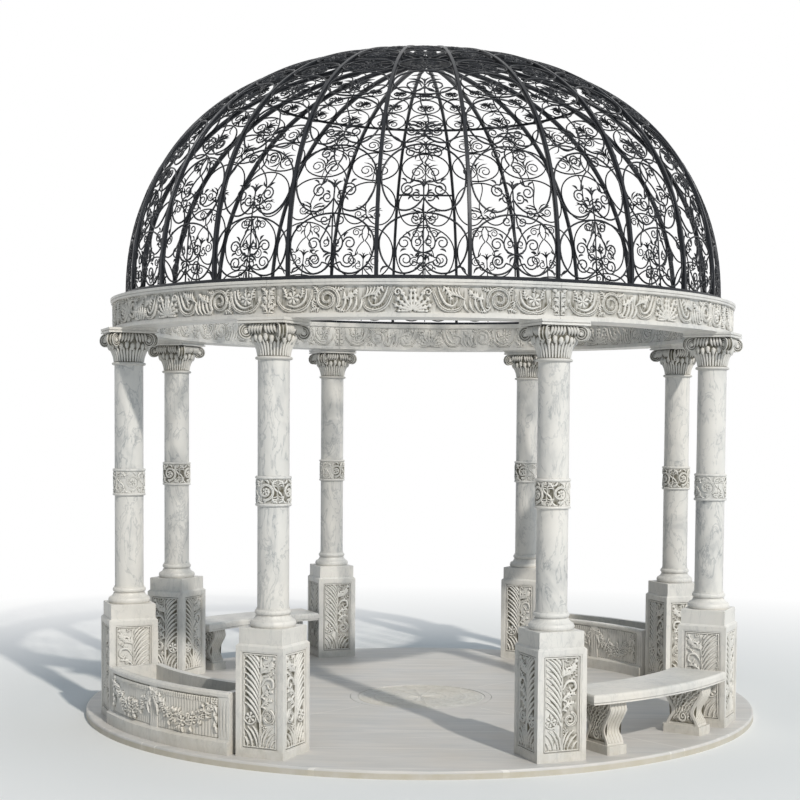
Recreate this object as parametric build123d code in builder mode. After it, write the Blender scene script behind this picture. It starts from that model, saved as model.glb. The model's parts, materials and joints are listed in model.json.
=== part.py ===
# Garden pavilion: a ring of eight marble columns on square pedestals stands on a round
# floor slab and carries a carved ring beam with an openwork iron dome. Two curved
# planters and two curved benches close four of the eight bays.
# Millimetres, +Z up, origin at the centre of the slab's underside. The front is -Y.

import os
from math import asin, cos, degrees, pi, radians, sin, tan

from build123d import *

os.makedirs("parts", exist_ok=True)

# Plan of the pavilion
column_count = 8
column_ring_radius = 2530.0
bay_angle = 360.0 / column_count
open_bay_angle = 46.3
closed_bay_angle = 2 * bay_angle - open_bay_angle
front_bay = -90.0

# Floor slab and its carved centre stone
slab_overhang = 310.0
slab_height = 60.0
slab_edge_round = 14.0
medallion_radius = 614.0
medallion_depth = 25.0
medallion_joint = 4.0
medallion_field_radius = 560.0
medallion_field_drop = 5.0

# Square pedestals with a framed panel on each face
pedestal_side = 385.0
pedestal_die_height = 808.0
die_top_slope = 15.0
panel_side_margin = 50.0
panel_top_margin = 60.0
panel_foot_margin = 66.0
panel_depth = 16.0
frame_step_width = 12.0
frame_step_depth = 4.0
cap_side = 352.0
cap_height = 113.0
cap_edge_slope = 4.0

# Column: base, two plain shafts with a carved band between them, capital, impost
cushion_radius = 166.0
cushion_foot_radius = 156.0
cushion_height = 46.0
slope_top_radius = 124.0
slope_height = 34.0
groove_radius = 116.0
groove_height = 6.0
upper_torus_radius = 131.0
upper_torus_height = 38.0
base_neck_radius = 119.0
base_neck_height = 9.0
shaft_radius = 113.5
lower_shaft_height = 729.0
band_bead_height = 20.0
band_bead_radius = 130.0
band_drum_height = 172.0
band_drum_radius = 119.0
upper_shaft_height = 825.0
astragal_radius = 134.0
astragal_height = 24.0
bell_foot_radius = 118.0
bell_top_radius = 152.0
bell_height = 112.0
echinus_radius = 164.0
volute_radius = 57.0
volute_spread = 207.0
volute_width = 58.0
volute_eye_radius = 17.0
volute_eye_projection = 5.0
volute_gap = 1.0

# Square impost: two plates with a groove between them
impost_side = 380.0
impost_lower_height = 14.0
impost_groove_height = 7.0
impost_groove_inset = 9.0
impost_upper_height = 18.0

# Carved ring beam in eight curved stones
beam_depth = 289.0
beam_overhang = 76.0
beam_height = 263.0
beam_joint_width = 2.0
lip_projection = 30.0
lip_height = 40.0
lip_lower_height = 16.0
lip_groove_height = 3.0
lip_groove_depth = 6.0
fascia_height = 30.0
fascia_lower_height = 20.0
fascia_projection = 16.0
fascia_upper_projection = 9.0
beam_inner_projection = 12.0

# Iron dome
dome_setback = 87.0
dome_rise = 2070.0
dome_roundness = 2.24
dome_turn = 1.5
rib_count = 24
rib_width = 26.0
rib_depth = 36.0
base_hoop_width = 60.0
base_hoop_height = 34.0
crown_radius = 120.0
crown_height = 46.0
iron_gap = 0.3
upper_hoop_rise = 1730.0
upper_hoop_width = 16.0
upper_hoop_height = 20.0
cross_bar_rise = 1217.0
cross_bar_height = 18.0
cross_bar_depth = 8.0

# Tiers of scrollwork between the ribs: heights above the ribs' feet
tier_rises = (6.0, 450.0, 957.0, 1352.0, 1590.0, 1726.0)
loop_steps = 7
loop_lobe_share = 0.44
scroll_bar_width = 16.0
scroll_bar_depth = 14.0
scroll_gap = 4.0
curl_bar_width = 12.0
curl_spread = 88.0
curl_rise = 122.0
curl_radius = 58.0
curl_end_radius = 22.0
curl_start = 150.0
curl_sweep = 400.0
curl_steps = 8
curl_root_rise = 8.0

# Curved planters
planter_depth = 400.0
planter_height = 445.0
planter_wall = 50.0
planter_floor = 60.0
planter_rim_height = 40.0
planter_rim_projection = 15.0
planter_plinth_height = 90.0
planter_plinth_projection = 36.0
planter_ledge_height = 18.0
planter_gap = 12.0
pilaster_width = 96.0
pilaster_projection = 9.0

# Curved benches
bench_depth = 440.0
bench_height = 460.0
seat_height = 56.0
seat_edge_round = 22.0
seat_groove_height = 5.0
seat_groove_depth = 12.0
seat_fillet_height = 12.0
seat_fillet_inset = 4.0
bench_gap = 12.0
leg_setting = 500.0
leg_width = 150.0
leg_shoulder_depth = 330.0
leg_top_depth = 300.0
leg_waist_depth = 180.0
leg_foot_depth = 270.0
leg_ribbon = 24.0
leg_side_recess = 9.0
leg_plinth_height = 66.0
leg_plinth_depth = 326.0
leg_plinth_width = 180.0
leg_plinth_slope = 12.0

# Radii and heights worked out from the sizes above
slab_radius = column_ring_radius + slab_overhang
beam_frieze_radius = column_ring_radius + beam_overhang
beam_inner_radius = beam_frieze_radius - beam_depth
dome_radius = beam_frieze_radius - dome_setback
floor_level = slab_height
cap_level = floor_level + pedestal_die_height
base_level = cap_level + cap_height
base_height = cushion_height + slope_height + groove_height + upper_torus_height + base_neck_height
lower_shaft_level = base_level + base_height
band_level = lower_shaft_level + lower_shaft_height
band_height = 2 * band_bead_height + band_drum_height
upper_shaft_level = band_level + band_height
capital_level = upper_shaft_level + upper_shaft_height
bell_level = capital_level + astragal_height
volute_level = bell_level + bell_height
impost_level = volute_level + 2 * volute_radius + 2 * volute_gap
impost_height = impost_lower_height + impost_groove_height + impost_upper_height
beam_level = impost_level + impost_height
dome_level = beam_level + beam_height
rib_level = dome_level + base_hoop_height


def on_each_column(piece):
    """Return one part with a copy of the piece at every column."""
    with BuildPart() as ring:
        for side in (-1, 1):
            first_column = front_bay + side * open_bay_angle / 2
            with PolarLocations(column_ring_radius, column_count // 2, first_column):
                add(piece)
    return ring.part


def turned(piece, angle):
    """Return a copy of the piece turned about the pavilion's centre."""
    with BuildPart() as copy:
        with Locations(Rotation(0, 0, angle)):
            add(piece)
    return copy.part


def save(piece, name):
    """Label a finished piece and write it to its own file."""
    piece.label = name
    export_step(piece, f"parts/{name}.step")


def sector(profile, half_angle):
    """Return the ring sector that a closed profile of (radius, height) points sweeps, centred on +X."""
    with BuildPart() as swept:
        with BuildSketch(Plane.XZ.rotated((0, 0, -half_angle))):
            with BuildLine():
                Polyline(*profile, close=True)
            make_face()
        revolve(axis=Axis.Z, revolution_arc=2 * half_angle)
    return swept.part


def block(inner, outer, low, high):
    """Return the profile of a plain ring sector."""
    return [(inner, low), (outer, low), (outer, high), (inner, high)]


# Floor slab with a round recess for the centre stone
with BuildPart() as floor_slab:
    Cylinder(slab_radius, slab_height, align=(Align.CENTER, Align.CENTER, Align.MIN))
    top_edge = floor_slab.faces().sort_by(Axis.Z)[-1].edges()
    fillet(top_edge, slab_edge_round)
    with BuildSketch(Plane.XY.offset(slab_height)):
        Circle(medallion_radius + medallion_joint)
    extrude(amount=-medallion_depth, mode=Mode.SUBTRACT)
save(floor_slab.part, "floor_slab")

# Centre stone with a sunk field for its carving
with BuildPart() as floor_medallion:
    with BuildSketch(Plane.XY.offset(slab_height - medallion_depth)):
        Circle(medallion_radius)
    extrude(amount=medallion_depth)
    with BuildSketch(Plane.XY.offset(slab_height)):
        Circle(medallion_field_radius)
    extrude(amount=-medallion_field_drop, mode=Mode.SUBTRACT)
save(floor_medallion.part, "floor_medallion")

# Pedestal die with a stepped frame round a sunk panel on each of its four faces
panel_width = pedestal_side - 2 * panel_side_margin
panel_height = pedestal_die_height - panel_top_margin - panel_foot_margin
panel_centre = floor_level + panel_foot_margin + panel_height / 2
with BuildPart() as pedestal:
    with BuildSketch(Plane.XY.offset(floor_level)):
        Rectangle(pedestal_side, pedestal_side)
    extrude(amount=pedestal_die_height)
    chamfer(pedestal.edges().group_by(Axis.Z)[-1], die_top_slope)
    for side in range(4):
        face_plane = Plane.YZ.rotated((0, 0, 90 * side)).offset(pedestal_side / 2)
        with BuildSketch(face_plane):
            with Locations((0, panel_centre)):
                Rectangle(panel_width + 2 * frame_step_width, panel_height + 2 * frame_step_width)
        extrude(amount=-frame_step_depth, mode=Mode.SUBTRACT)
        with BuildSketch(face_plane):
            with Locations((0, panel_centre)):
                Rectangle(panel_width, panel_height)
        extrude(amount=-panel_depth, mode=Mode.SUBTRACT)
save(on_each_column(pedestal.part), "pedestals")

# Set-back cap block between the pedestal and the column base
with BuildPart() as pedestal_cap:
    with BuildSketch(Plane.XY.offset(cap_level)):
        Rectangle(cap_side, cap_side)
    extrude(amount=cap_height)
    chamfer(pedestal_cap.edges().group_by(Axis.Z)[-1], cap_edge_slope)
save(on_each_column(pedestal_cap.part), "pedestal_caps")

# Column base: a swelling cushion that slopes in, a groove and a half-round moulding
slope_level = base_level + cushion_height
groove_level = slope_level + slope_height
torus_level = groove_level + groove_height
neck_level = torus_level + upper_torus_height
with BuildPart() as column_base:
    with BuildSketch(Plane.XZ):
        with BuildLine():
            Line((0, base_level), (cushion_foot_radius, base_level))
            ThreePointArc(
                (cushion_foot_radius, base_level),
                (cushion_radius, base_level + cushion_height / 2),
                (cushion_foot_radius, slope_level),
            )
            Spline(
                (cushion_foot_radius, slope_level),
                (slope_top_radius, groove_level),
                tangents=((-1, 0.35), (-0.25, 1)),
            )
            Line((slope_top_radius, groove_level), (groove_radius, groove_level))
            Line((groove_radius, groove_level), (groove_radius, torus_level))
            ThreePointArc(
                (groove_radius, torus_level),
                (upper_torus_radius, torus_level + upper_torus_height * 0.6),
                (base_neck_radius, neck_level),
            )
            Line((base_neck_radius, neck_level), (base_neck_radius, lower_shaft_level))
            Line((base_neck_radius, lower_shaft_level), (0, lower_shaft_level))
            Line((0, lower_shaft_level), (0, base_level))
        make_face()
    revolve(axis=Axis.Z)
save(on_each_column(column_base.part), "column_bases")

# Plain lower and upper shafts
with BuildPart() as lower_shaft:
    with BuildSketch(Plane.XY.offset(lower_shaft_level)):
        Circle(shaft_radius)
    extrude(amount=lower_shaft_height)
save(on_each_column(lower_shaft.part), "lower_shafts")

with BuildPart() as upper_shaft:
    with BuildSketch(Plane.XY.offset(upper_shaft_level)):
        Circle(shaft_radius)
    extrude(amount=upper_shaft_height)
save(on_each_column(upper_shaft.part), "upper_shafts")

# Carved band: a drum between two half-round beads
drum_level = band_level + band_bead_height
drum_top = drum_level + band_drum_height
with BuildPart() as carved_band:
    with BuildSketch(Plane.XZ):
        with BuildLine():
            Line((0, band_level), (shaft_radius, band_level))
            ThreePointArc(
                (shaft_radius, band_level),
                (band_bead_radius, band_level + band_bead_height / 2),
                (band_drum_radius, drum_level),
            )
            Line((band_drum_radius, drum_level), (band_drum_radius, drum_top))
            ThreePointArc(
                (band_drum_radius, drum_top),
                (band_bead_radius, drum_top + band_bead_height / 2),
                (shaft_radius, upper_shaft_level),
            )
            Line((shaft_radius, upper_shaft_level), (0, upper_shaft_level))
            Line((0, upper_shaft_level), (0, band_level))
        make_face()
    revolve(axis=Axis.Z)
save(on_each_column(carved_band.part), "carved_bands")

# Capital: astragal, flaring bell, round echinus and scroll arms to four corner volutes
volute_centre = volute_level + volute_gap + volute_radius
with BuildPart() as capital:
    with BuildSketch(Plane.XZ):
        with BuildLine():
            Line((0, capital_level), (bell_foot_radius, capital_level))
            ThreePointArc(
                (bell_foot_radius, capital_level),
                (astragal_radius, capital_level + astragal_height / 2),
                (bell_foot_radius, bell_level),
            )
            Spline(
                (bell_foot_radius, bell_level),
                (bell_top_radius, volute_level),
                tangents=((0, 1), (1, 0.8)),
            )
            Polyline(
                (bell_top_radius, volute_level),
                (echinus_radius, volute_level + volute_gap),
                (echinus_radius, impost_level),
                (0, impost_level),
                (0, capital_level),
            )
        make_face()
    revolve(axis=Axis.Z)
    for diagonal in (45, 135):
        scroll_plane = Plane.XZ.rotated((0, 0, diagonal))
        with BuildSketch(scroll_plane):
            with Locations((0, volute_centre)):
                SlotCenterToCenter(2 * volute_spread, 2 * volute_radius)
        extrude(amount=volute_width / 2, both=True)
        with BuildSketch(scroll_plane):
            with Locations((-volute_spread, volute_centre), (volute_spread, volute_centre)):
                Circle(volute_eye_radius)
        extrude(amount=volute_width / 2 + volute_eye_projection, both=True)
save(on_each_column(capital.part), "capitals")

# Square impost between the capital and the ring beam: two plates and a groove
groove_side = impost_side - 2 * impost_groove_inset
with BuildPart() as impost:
    with BuildSketch(Plane.XY.offset(impost_level)):
        Rectangle(impost_side, impost_side)
    extrude(amount=impost_lower_height)
    with BuildSketch(Plane.XY.offset(impost_level + impost_lower_height)):
        Rectangle(groove_side, groove_side)
    extrude(amount=impost_groove_height)
    with BuildSketch(Plane.XY.offset(beam_level - impost_upper_height)):
        Rectangle(impost_side, impost_side)
    extrude(amount=impost_upper_height)
save(on_each_column(impost.part), "impost_plates")

# Ring beam: curved stones from column to column, the ones over open bays a little longer
fascia_top = beam_level + fascia_height
lip_level = dome_level - lip_height
groove_foot = lip_level + lip_lower_height
groove_top = groove_foot + lip_groove_height
beam_profile = [
    (beam_inner_radius - beam_inner_projection, beam_level),
    (beam_frieze_radius + fascia_projection, beam_level),
    (beam_frieze_radius + fascia_projection, beam_level + fascia_lower_height),
    (beam_frieze_radius + fascia_upper_projection, beam_level + fascia_lower_height),
    (beam_frieze_radius + fascia_upper_projection, fascia_top),
    (beam_frieze_radius, fascia_top),
    (beam_frieze_radius, lip_level),
    (beam_frieze_radius + lip_projection - lip_groove_depth, lip_level),
    (beam_frieze_radius + lip_projection - lip_groove_depth / 2, groove_foot),
    (beam_frieze_radius + lip_projection - 2 * lip_groove_depth, groove_foot),
    (beam_frieze_radius + lip_projection - 2 * lip_groove_depth, groove_top),
    (beam_frieze_radius + lip_projection, groove_top),
    (beam_frieze_radius + lip_projection, dome_level),
    (beam_inner_radius - beam_inner_projection, dome_level),
    (beam_inner_radius - beam_inner_projection, lip_level),
    (beam_inner_radius, lip_level),
    (beam_inner_radius, fascia_top),
    (beam_inner_radius - beam_inner_projection, fascia_top),
]
beam_joint_angle = degrees(beam_joint_width / beam_inner_radius)
beam_stones = [
    sector(beam_profile, (angle - beam_joint_angle) / 2) for angle in (open_bay_angle, closed_bay_angle)
]
for bay in range(column_count):
    save(turned(beam_stones[bay % 2], front_bay + bay * bay_angle), f"ring_beam_{bay + 1}")

# Flat iron hoop that carries the ribs, in eight bent bars
hoop_bar = sector(
    block(dome_radius - base_hoop_width / 2, dome_radius + base_hoop_width / 2, dome_level, rib_level),
    bay_angle / 2 - degrees(beam_joint_width / 2 / dome_radius),
)
with BuildPart() as dome_base_hoop:
    with PolarLocations(0, column_count, front_bay):
        add(hoop_bar)
save(dome_base_hoop.part, "dome_base_hoop")


def dome_radius_at(rise):
    """Return the radius of the dome's outside at a height above the ribs' feet."""
    share = min(rise / dome_rise, 1.0)
    return dome_radius * (1 - share**dome_roundness) ** (1 / dome_roundness)


def rib_point(angle, inset):
    """Return a point of a rib, in its own plane, set in square to the dome's outline."""
    power = 2 / dome_roundness
    r = cos(angle) ** power
    z = sin(angle) ** power
    normal = Vector(r ** (dome_roundness - 1) / dome_radius, z ** (dome_roundness - 1) / dome_rise).normalized()
    return (dome_radius * r - inset * normal.X, rib_level + dome_rise * z - inset * normal.Y)


# Ribs: flat iron bars bent to the dome's outline, from the hoop to the crown
rib_steps = 12
rib_angles = [radians(90) * step / rib_steps for step in range(rib_steps + 1)]
outer_points = [rib_point(angle, 0) for angle in rib_angles]
inner_points = [rib_point(angle, rib_depth) for angle in rib_angles]
with BuildPart() as rib:
    with BuildSketch(Plane.XZ):
        with BuildLine():
            Polyline(*outer_points)
            Polyline(*inner_points)
            Line(outer_points[0], inner_points[0])
            Line(outer_points[-1], inner_points[-1])
        make_face()
    extrude(amount=rib_width / 2, both=True)
    with BuildSketch(Plane.XY.offset(rib_level)):
        Circle(crown_radius + iron_gap)
    extrude(amount=dome_rise + rib_depth, mode=Mode.SUBTRACT)
rib_angle = 360.0 / rib_count
half_bay = radians(rib_angle / 2)
first_rib = front_bay + dome_turn + rib_angle / 2
ribs_per_group = rib_count // column_count
for group in range(column_count):
    with BuildPart() as rib_group:
        for place in range(ribs_per_group):
            with Locations(Rotation(0, 0, first_rib + rib_angle * (group * ribs_per_group + place))):
                add(rib.part)
    save(rib_group.part, f"dome_ribs_{group + 1}")

# Round crown boss that the ribs meet at the top of the dome
with BuildPart() as dome_crown:
    with BuildSketch(Plane.XY.offset(rib_level + dome_rise - crown_height)):
        Circle(crown_radius)
    extrude(amount=crown_height)
save(dome_crown.part, "dome_crown")


def inner_edge_radius(height):
    """Return the radius of the ribs' inner edge at a height, or of the crown above them."""
    for low, high in zip(inner_points, inner_points[1:]):
        if low[1] <= height <= high[1]:
            return low[0] + (high[0] - low[0]) * (height - low[1]) / (high[1] - low[1])
    return crown_radius


# Upper hoop: eight bent bars against the inner edges of the ribs
upper_hoop_level = rib_level + upper_hoop_rise
upper_hoop_radius = inner_edge_radius(upper_hoop_level + upper_hoop_height) - iron_gap
upper_hoop_bar = sector(
    block(
        upper_hoop_radius - upper_hoop_width,
        upper_hoop_radius,
        upper_hoop_level,
        upper_hoop_level + upper_hoop_height,
    ),
    bay_angle / 2 - degrees(beam_joint_width / 2 / upper_hoop_radius),
)
with BuildPart() as dome_upper_hoop:
    with PolarLocations(0, column_count, front_bay):
        add(upper_hoop_bar)
save(dome_upper_hoop.part, "dome_upper_hoop")


def bay_half_space(radius):
    """Return half the clear width between two ribs at a distance from the dome's axis."""
    return radius * tan(half_bay) - rib_width / 2 / cos(half_bay) - iron_gap


# Cross bar: a short straight bar across the inner edges of two ribs at the back
cross_bar_level = rib_level + cross_bar_rise
edge_radius = inner_edge_radius(cross_bar_level + cross_bar_height)
cross_bar_radius = edge_radius * cos(half_bay) - rib_width / 2 * sin(half_bay) - iron_gap
cross_bar_length = 2 * edge_radius * sin(half_bay) + rib_width
with BuildPart() as dome_cross_bar:
    with BuildSketch(Plane.XY.offset(cross_bar_level)):
        with Locations((cross_bar_radius - cross_bar_depth / 2, 0)):
            Rectangle(cross_bar_depth, cross_bar_length)
    extrude(amount=cross_bar_height)
save(turned(dome_cross_bar.part, front_bay + 180 + dome_turn), "dome_cross_bar")


def loop_shape():
    """Return half the loop's outline, one unit high and wide: a round arch over a lobe and a middle cusp."""
    cusp_turn = pi + asin(loop_lobe_share / (1 - loop_lobe_share))
    points = []
    for step in range(loop_steps + 1):
        turn = cusp_turn * step / loop_steps
        centre = loop_lobe_share if turn > pi / 2 else 0.0
        points.append((centre + (1 - centre) * sin(turn), cos(turn)))
    return points


def curl(side, foot):
    """Return the points of one curl bar, from the panel's stem round to its inner end."""
    centre_y = foot + curl_rise
    points = [(0, centre_y + curl_root_rise)]
    for step in range(curl_steps + 1):
        share = step / curl_steps
        angle = radians(curl_start - curl_sweep * share)
        radius = curl_radius + (curl_end_radius - curl_radius) * share
        points.append((side * (curl_spread + radius * cos(angle)), centre_y + radius * sin(angle)))
    return points


def scroll_panel(low_rise, high_rise, with_curls):
    """Return one tier's iron panel in the bay between two ribs on the X axis."""
    low_radius = (dome_radius_at(low_rise) - rib_depth / 2) * cos(half_bay)
    high_radius = (dome_radius_at(high_rise) - rib_depth / 2) * cos(half_bay)
    low = Vector(low_radius, rib_level + low_rise)
    high = Vector(high_radius, rib_level + high_rise)
    mid_rise = (low_rise + high_rise) / 2
    bulge = Vector((dome_radius_at(mid_rise) - rib_depth / 2) * cos(half_bay), rib_level + mid_rise)
    middle = (low + high) * 0.25 + bulge * 0.5
    along = (high - low).normalized()
    half_height = (high - low).length / 2 - scroll_gap / 2
    shape = [(x, half_height * y) for x, y in loop_shape()]
    half_width = min(
        bay_half_space(middle.X - scroll_bar_depth / 2 + along.X * y) / x for x, y in shape[1:-1]
    )
    right = [(half_width * x, y) for x, y in shape[1:-1]]
    left = [(-x, y) for x, y in reversed(right)]
    top_y, cusp_y = shape[0][1], shape[-1][1]
    panel_plane = Plane(origin=(middle.X, 0, middle.Y), x_dir=(0, 1, 0), z_dir=(along.Y, 0, -along.X))
    with BuildPart() as panel:
        with BuildSketch(panel_plane):
            with BuildLine():
                Polyline((0, top_y), *right, (0, cusp_y), *left, close=True)
            make_face()
            offset(amount=-scroll_bar_width, kind=Kind.INTERSECTION, mode=Mode.SUBTRACT)
            if with_curls:
                with BuildLine():
                    Line((0, cusp_y + scroll_bar_width / 2), (0, top_y - scroll_bar_width / 2))
                trace(line_width=curl_bar_width)
                for side in (-1, 1):
                    with BuildLine():
                        Polyline(*curl(side, -half_height))
                    trace(line_width=curl_bar_width)
        extrude(amount=scroll_bar_depth / 2, both=True)
    return panel.part


# Tiers of scroll panels between the ribs, with a stem and curls in the tallest ones
for tier in range(len(tier_rises) - 1):
    panel = scroll_panel(tier_rises[tier], tier_rises[tier + 1], with_curls=tier == 0)
    with BuildPart() as tier_ring:
        with PolarLocations(0, rib_count, first_rib + rib_angle / 2):
            add(panel)
    save(tier_ring.part, f"dome_scrolls_{tier + 1}")

# Curved planter: an open stone trough with a rim, a ledged plinth and pilasters
planter_inner_radius = column_ring_radius - planter_depth / 2
planter_outer_radius = column_ring_radius + planter_depth / 2
planter_half_angle = closed_bay_angle / 2 - degrees(
    asin((pedestal_side / 2 + planter_gap) / (planter_inner_radius - planter_plinth_projection))
)
planter_top = floor_level + planter_height
plinth_top = floor_level + planter_plinth_height
ledge_top = plinth_top + planter_ledge_height
rim_level = planter_top - planter_rim_height
rim_round = planter_rim_height / 4
planter_shell = sector(
    [
        (planter_inner_radius - planter_plinth_projection, floor_level),
        (planter_outer_radius + planter_plinth_projection, floor_level),
        (planter_outer_radius + planter_plinth_projection, plinth_top),
        (planter_outer_radius, ledge_top),
        (planter_outer_radius, rim_level),
        (planter_outer_radius + planter_rim_projection, rim_level + rim_round),
        (planter_outer_radius + planter_rim_projection, planter_top - rim_round),
        (planter_outer_radius + planter_rim_projection / 2, planter_top),
        (planter_inner_radius - planter_rim_projection / 2, planter_top),
        (planter_inner_radius - planter_rim_projection, planter_top - rim_round),
        (planter_inner_radius - planter_rim_projection, rim_level + rim_round),
        (planter_inner_radius, rim_level),
        (planter_inner_radius, ledge_top),
        (planter_inner_radius - planter_plinth_projection, plinth_top),
    ],
    planter_half_angle,
)
pilaster = sector(
    block(
        planter_inner_radius - pilaster_projection,
        planter_outer_radius + pilaster_projection,
        plinth_top,
        rim_level + rim_round,
    ),
    degrees(pilaster_width / 2 / planter_outer_radius),
)
end_place = planter_half_angle - degrees(pilaster_width / 2 / planter_outer_radius)
trough = sector(
    block(
        planter_inner_radius + planter_wall,
        planter_outer_radius - planter_wall,
        floor_level + planter_floor,
        planter_top + planter_wall,
    ),
    planter_half_angle - degrees(planter_wall / planter_inner_radius),
)
with BuildPart() as planter:
    add(planter_shell)
    for angle in (-end_place, 0, end_place):
        with Locations(Rotation(0, 0, angle)):
            add(pilaster)
    add(trough, mode=Mode.SUBTRACT)
save(turned(planter.part, front_bay - bay_angle), "planter_front_left")
save(turned(planter.part, front_bay - bay_angle + 180), "planter_back_right")

# Curved bench: a seat with a rounded edge over a groove and a fillet
bench_inner_radius = column_ring_radius - bench_depth / 2
bench_outer_radius = column_ring_radius + bench_depth / 2
bench_half_angle = closed_bay_angle / 2 - degrees(asin((pedestal_side / 2 + bench_gap) / bench_inner_radius))
bench_top = floor_level + bench_height
seat_level = bench_top - seat_height
seat_groove_level = seat_level - seat_groove_height
leg_top = seat_groove_level - seat_fillet_height
with BuildPart() as bench_seat:
    add(sector(block(bench_inner_radius, bench_outer_radius, seat_level, bench_top), bench_half_angle))
    fillet(bench_seat.faces().sort_by(Axis.Z)[-1].edges(), seat_edge_round)
    for low, high, inset in (
        (seat_groove_level, seat_level, seat_groove_depth),
        (leg_top, seat_groove_level, seat_fillet_inset),
    ):
        add(sector(
            block(bench_inner_radius + inset, bench_outer_radius - inset, low, high),
            bench_half_angle - degrees(inset / bench_inner_radius),
        ))
save(turned(bench_seat.part, front_bay + bay_angle), "bench_seat_front_right")
save(turned(bench_seat.part, front_bay + bay_angle + 180), "bench_seat_back_left")

# Scroll leg: an S-curved body with sunk sides on a plinth, drawn from the side
leg_foot = floor_level + leg_plinth_height
leg_body_height = leg_top - leg_foot
leg_curve = [
    (leg_foot_depth / 2, leg_foot),
    (leg_waist_depth / 2, leg_foot + 0.3 * leg_body_height),
    (leg_shoulder_depth / 2, leg_foot + 0.78 * leg_body_height),
    (leg_top_depth / 2, leg_top),
]
with BuildPart() as bench_leg:
    with BuildSketch(Plane.XZ) as leg_side:
        with BuildLine():
            Spline(*leg_curve, tangents=((-0.2, 1), (-0.35, 1)))
            Spline(*[(-x, z) for x, z in leg_curve], tangents=((0.2, 1), (0.35, 1)))
            Line((-leg_foot_depth / 2, leg_foot), (leg_foot_depth / 2, leg_foot))
            Line((-leg_top_depth / 2, leg_top), (leg_top_depth / 2, leg_top))
        make_face()
    extrude(amount=leg_width / 2, both=True)
    for face in (-1, 1):
        with BuildSketch(Plane.XZ.offset(face * leg_width / 2)):
            with BuildLine():
                Spline(*[(x - leg_ribbon, z) for x, z in leg_curve], tangents=((-0.2, 1), (-0.35, 1)))
                Spline(*[(leg_ribbon - x, z) for x, z in leg_curve], tangents=((0.2, 1), (0.35, 1)))
                Line((leg_ribbon - leg_foot_depth / 2, leg_foot), (leg_foot_depth / 2 - leg_ribbon, leg_foot))
                Line((leg_ribbon - leg_top_depth / 2, leg_top), (leg_top_depth / 2 - leg_ribbon, leg_top))
            make_face()
        extrude(amount=-face * leg_side_recess, mode=Mode.SUBTRACT)
    with BuildSketch(Plane.XY.offset(floor_level)):
        Rectangle(leg_plinth_depth, leg_plinth_width)
        chamfer(vertices(), leg_plinth_slope)
    extrude(amount=leg_plinth_height)


def bench_legs(middle_angle):
    """Return the two legs of the bench whose middle lies at the given angle."""
    with BuildPart() as pair:
        for side in (-1, 1):
            turn = middle_angle + side * degrees(leg_setting / column_ring_radius)
            with Locations(Rotation(0, 0, turn) * Pos(column_ring_radius, 0, 0)):
                add(bench_leg.part)
    return pair.part


save(bench_legs(front_bay + bay_angle), "bench_legs_front_right")
save(bench_legs(front_bay + bay_angle + 180), "bench_legs_back_left")
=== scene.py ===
# %% [markdown]
# # A marble garden pavilion with a wrought iron dome
# Eight marble columns stand on square pedestals round a circular floor. They carry a carved
# ring beam, and on the ring sits an openwork dome of bent iron bars. Two planters and two
# benches close four of the eight bays. The solids of the stone blocks and of the main iron
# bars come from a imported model, the frame. This lesson dresses them: it carves the stone,
# forges the scrollwork and gives every surface a finish.

# %% Load the frame
import json
from math import asin, atan2, cos, degrees, hypot, pi, radians, sin

import bmesh
import bpy
import numpy as np
from mathutils import Matrix, Vector

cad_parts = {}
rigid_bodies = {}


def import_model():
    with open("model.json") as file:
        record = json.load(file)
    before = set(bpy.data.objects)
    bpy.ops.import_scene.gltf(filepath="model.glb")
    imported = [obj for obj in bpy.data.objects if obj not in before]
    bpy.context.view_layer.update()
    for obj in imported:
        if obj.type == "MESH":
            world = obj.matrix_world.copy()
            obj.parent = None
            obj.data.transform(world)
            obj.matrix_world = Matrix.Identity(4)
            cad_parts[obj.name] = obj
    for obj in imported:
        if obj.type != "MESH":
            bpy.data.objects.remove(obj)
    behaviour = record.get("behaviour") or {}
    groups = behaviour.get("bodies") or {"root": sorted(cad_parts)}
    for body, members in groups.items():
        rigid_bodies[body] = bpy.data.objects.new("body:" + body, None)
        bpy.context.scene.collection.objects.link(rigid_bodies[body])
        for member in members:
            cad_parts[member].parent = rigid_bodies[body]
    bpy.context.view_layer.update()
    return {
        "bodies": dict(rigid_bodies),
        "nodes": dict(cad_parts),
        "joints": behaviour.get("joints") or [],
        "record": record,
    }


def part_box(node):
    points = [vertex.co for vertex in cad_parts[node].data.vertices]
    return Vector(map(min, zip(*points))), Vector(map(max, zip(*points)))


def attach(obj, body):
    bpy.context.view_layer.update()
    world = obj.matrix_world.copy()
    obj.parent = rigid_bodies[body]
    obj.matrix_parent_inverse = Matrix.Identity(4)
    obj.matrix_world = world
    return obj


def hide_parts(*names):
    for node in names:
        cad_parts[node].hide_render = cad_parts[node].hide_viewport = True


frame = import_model()
nodes = frame["nodes"]

# %% [markdown]
# ## Places read from the frame
# Everything that is added sits on a stone or a bar of the frame, so its place is worked out
# from the boxes of the frame's nodes. The plan is fixed: eight columns on one circle, in
# pairs that flank four open bays, the first of which looks to -Y. Angles run
# counter-clockwise from +X.

# %% Read the plan and the levels
FRONT = radians(-90)
QUARTER = radians(90)


def low(name):
    """Lowest level of a node."""
    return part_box(name)[0].z


def high(name):
    """Highest level of a node."""
    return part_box(name)[1].z


def polar(r, angle, z):
    """A point by its distance from the axis, its angle and its level."""
    return (r * cos(angle), r * sin(angle), z)


def plan(name):
    """Radius and angle, seen from above, of each vertex of a node."""
    co = np.array([v.co for v in nodes[name].data.vertices])
    return np.hypot(co[:, 0], co[:, 1]), np.arctan2(co[:, 1], co[:, 0])


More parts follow.
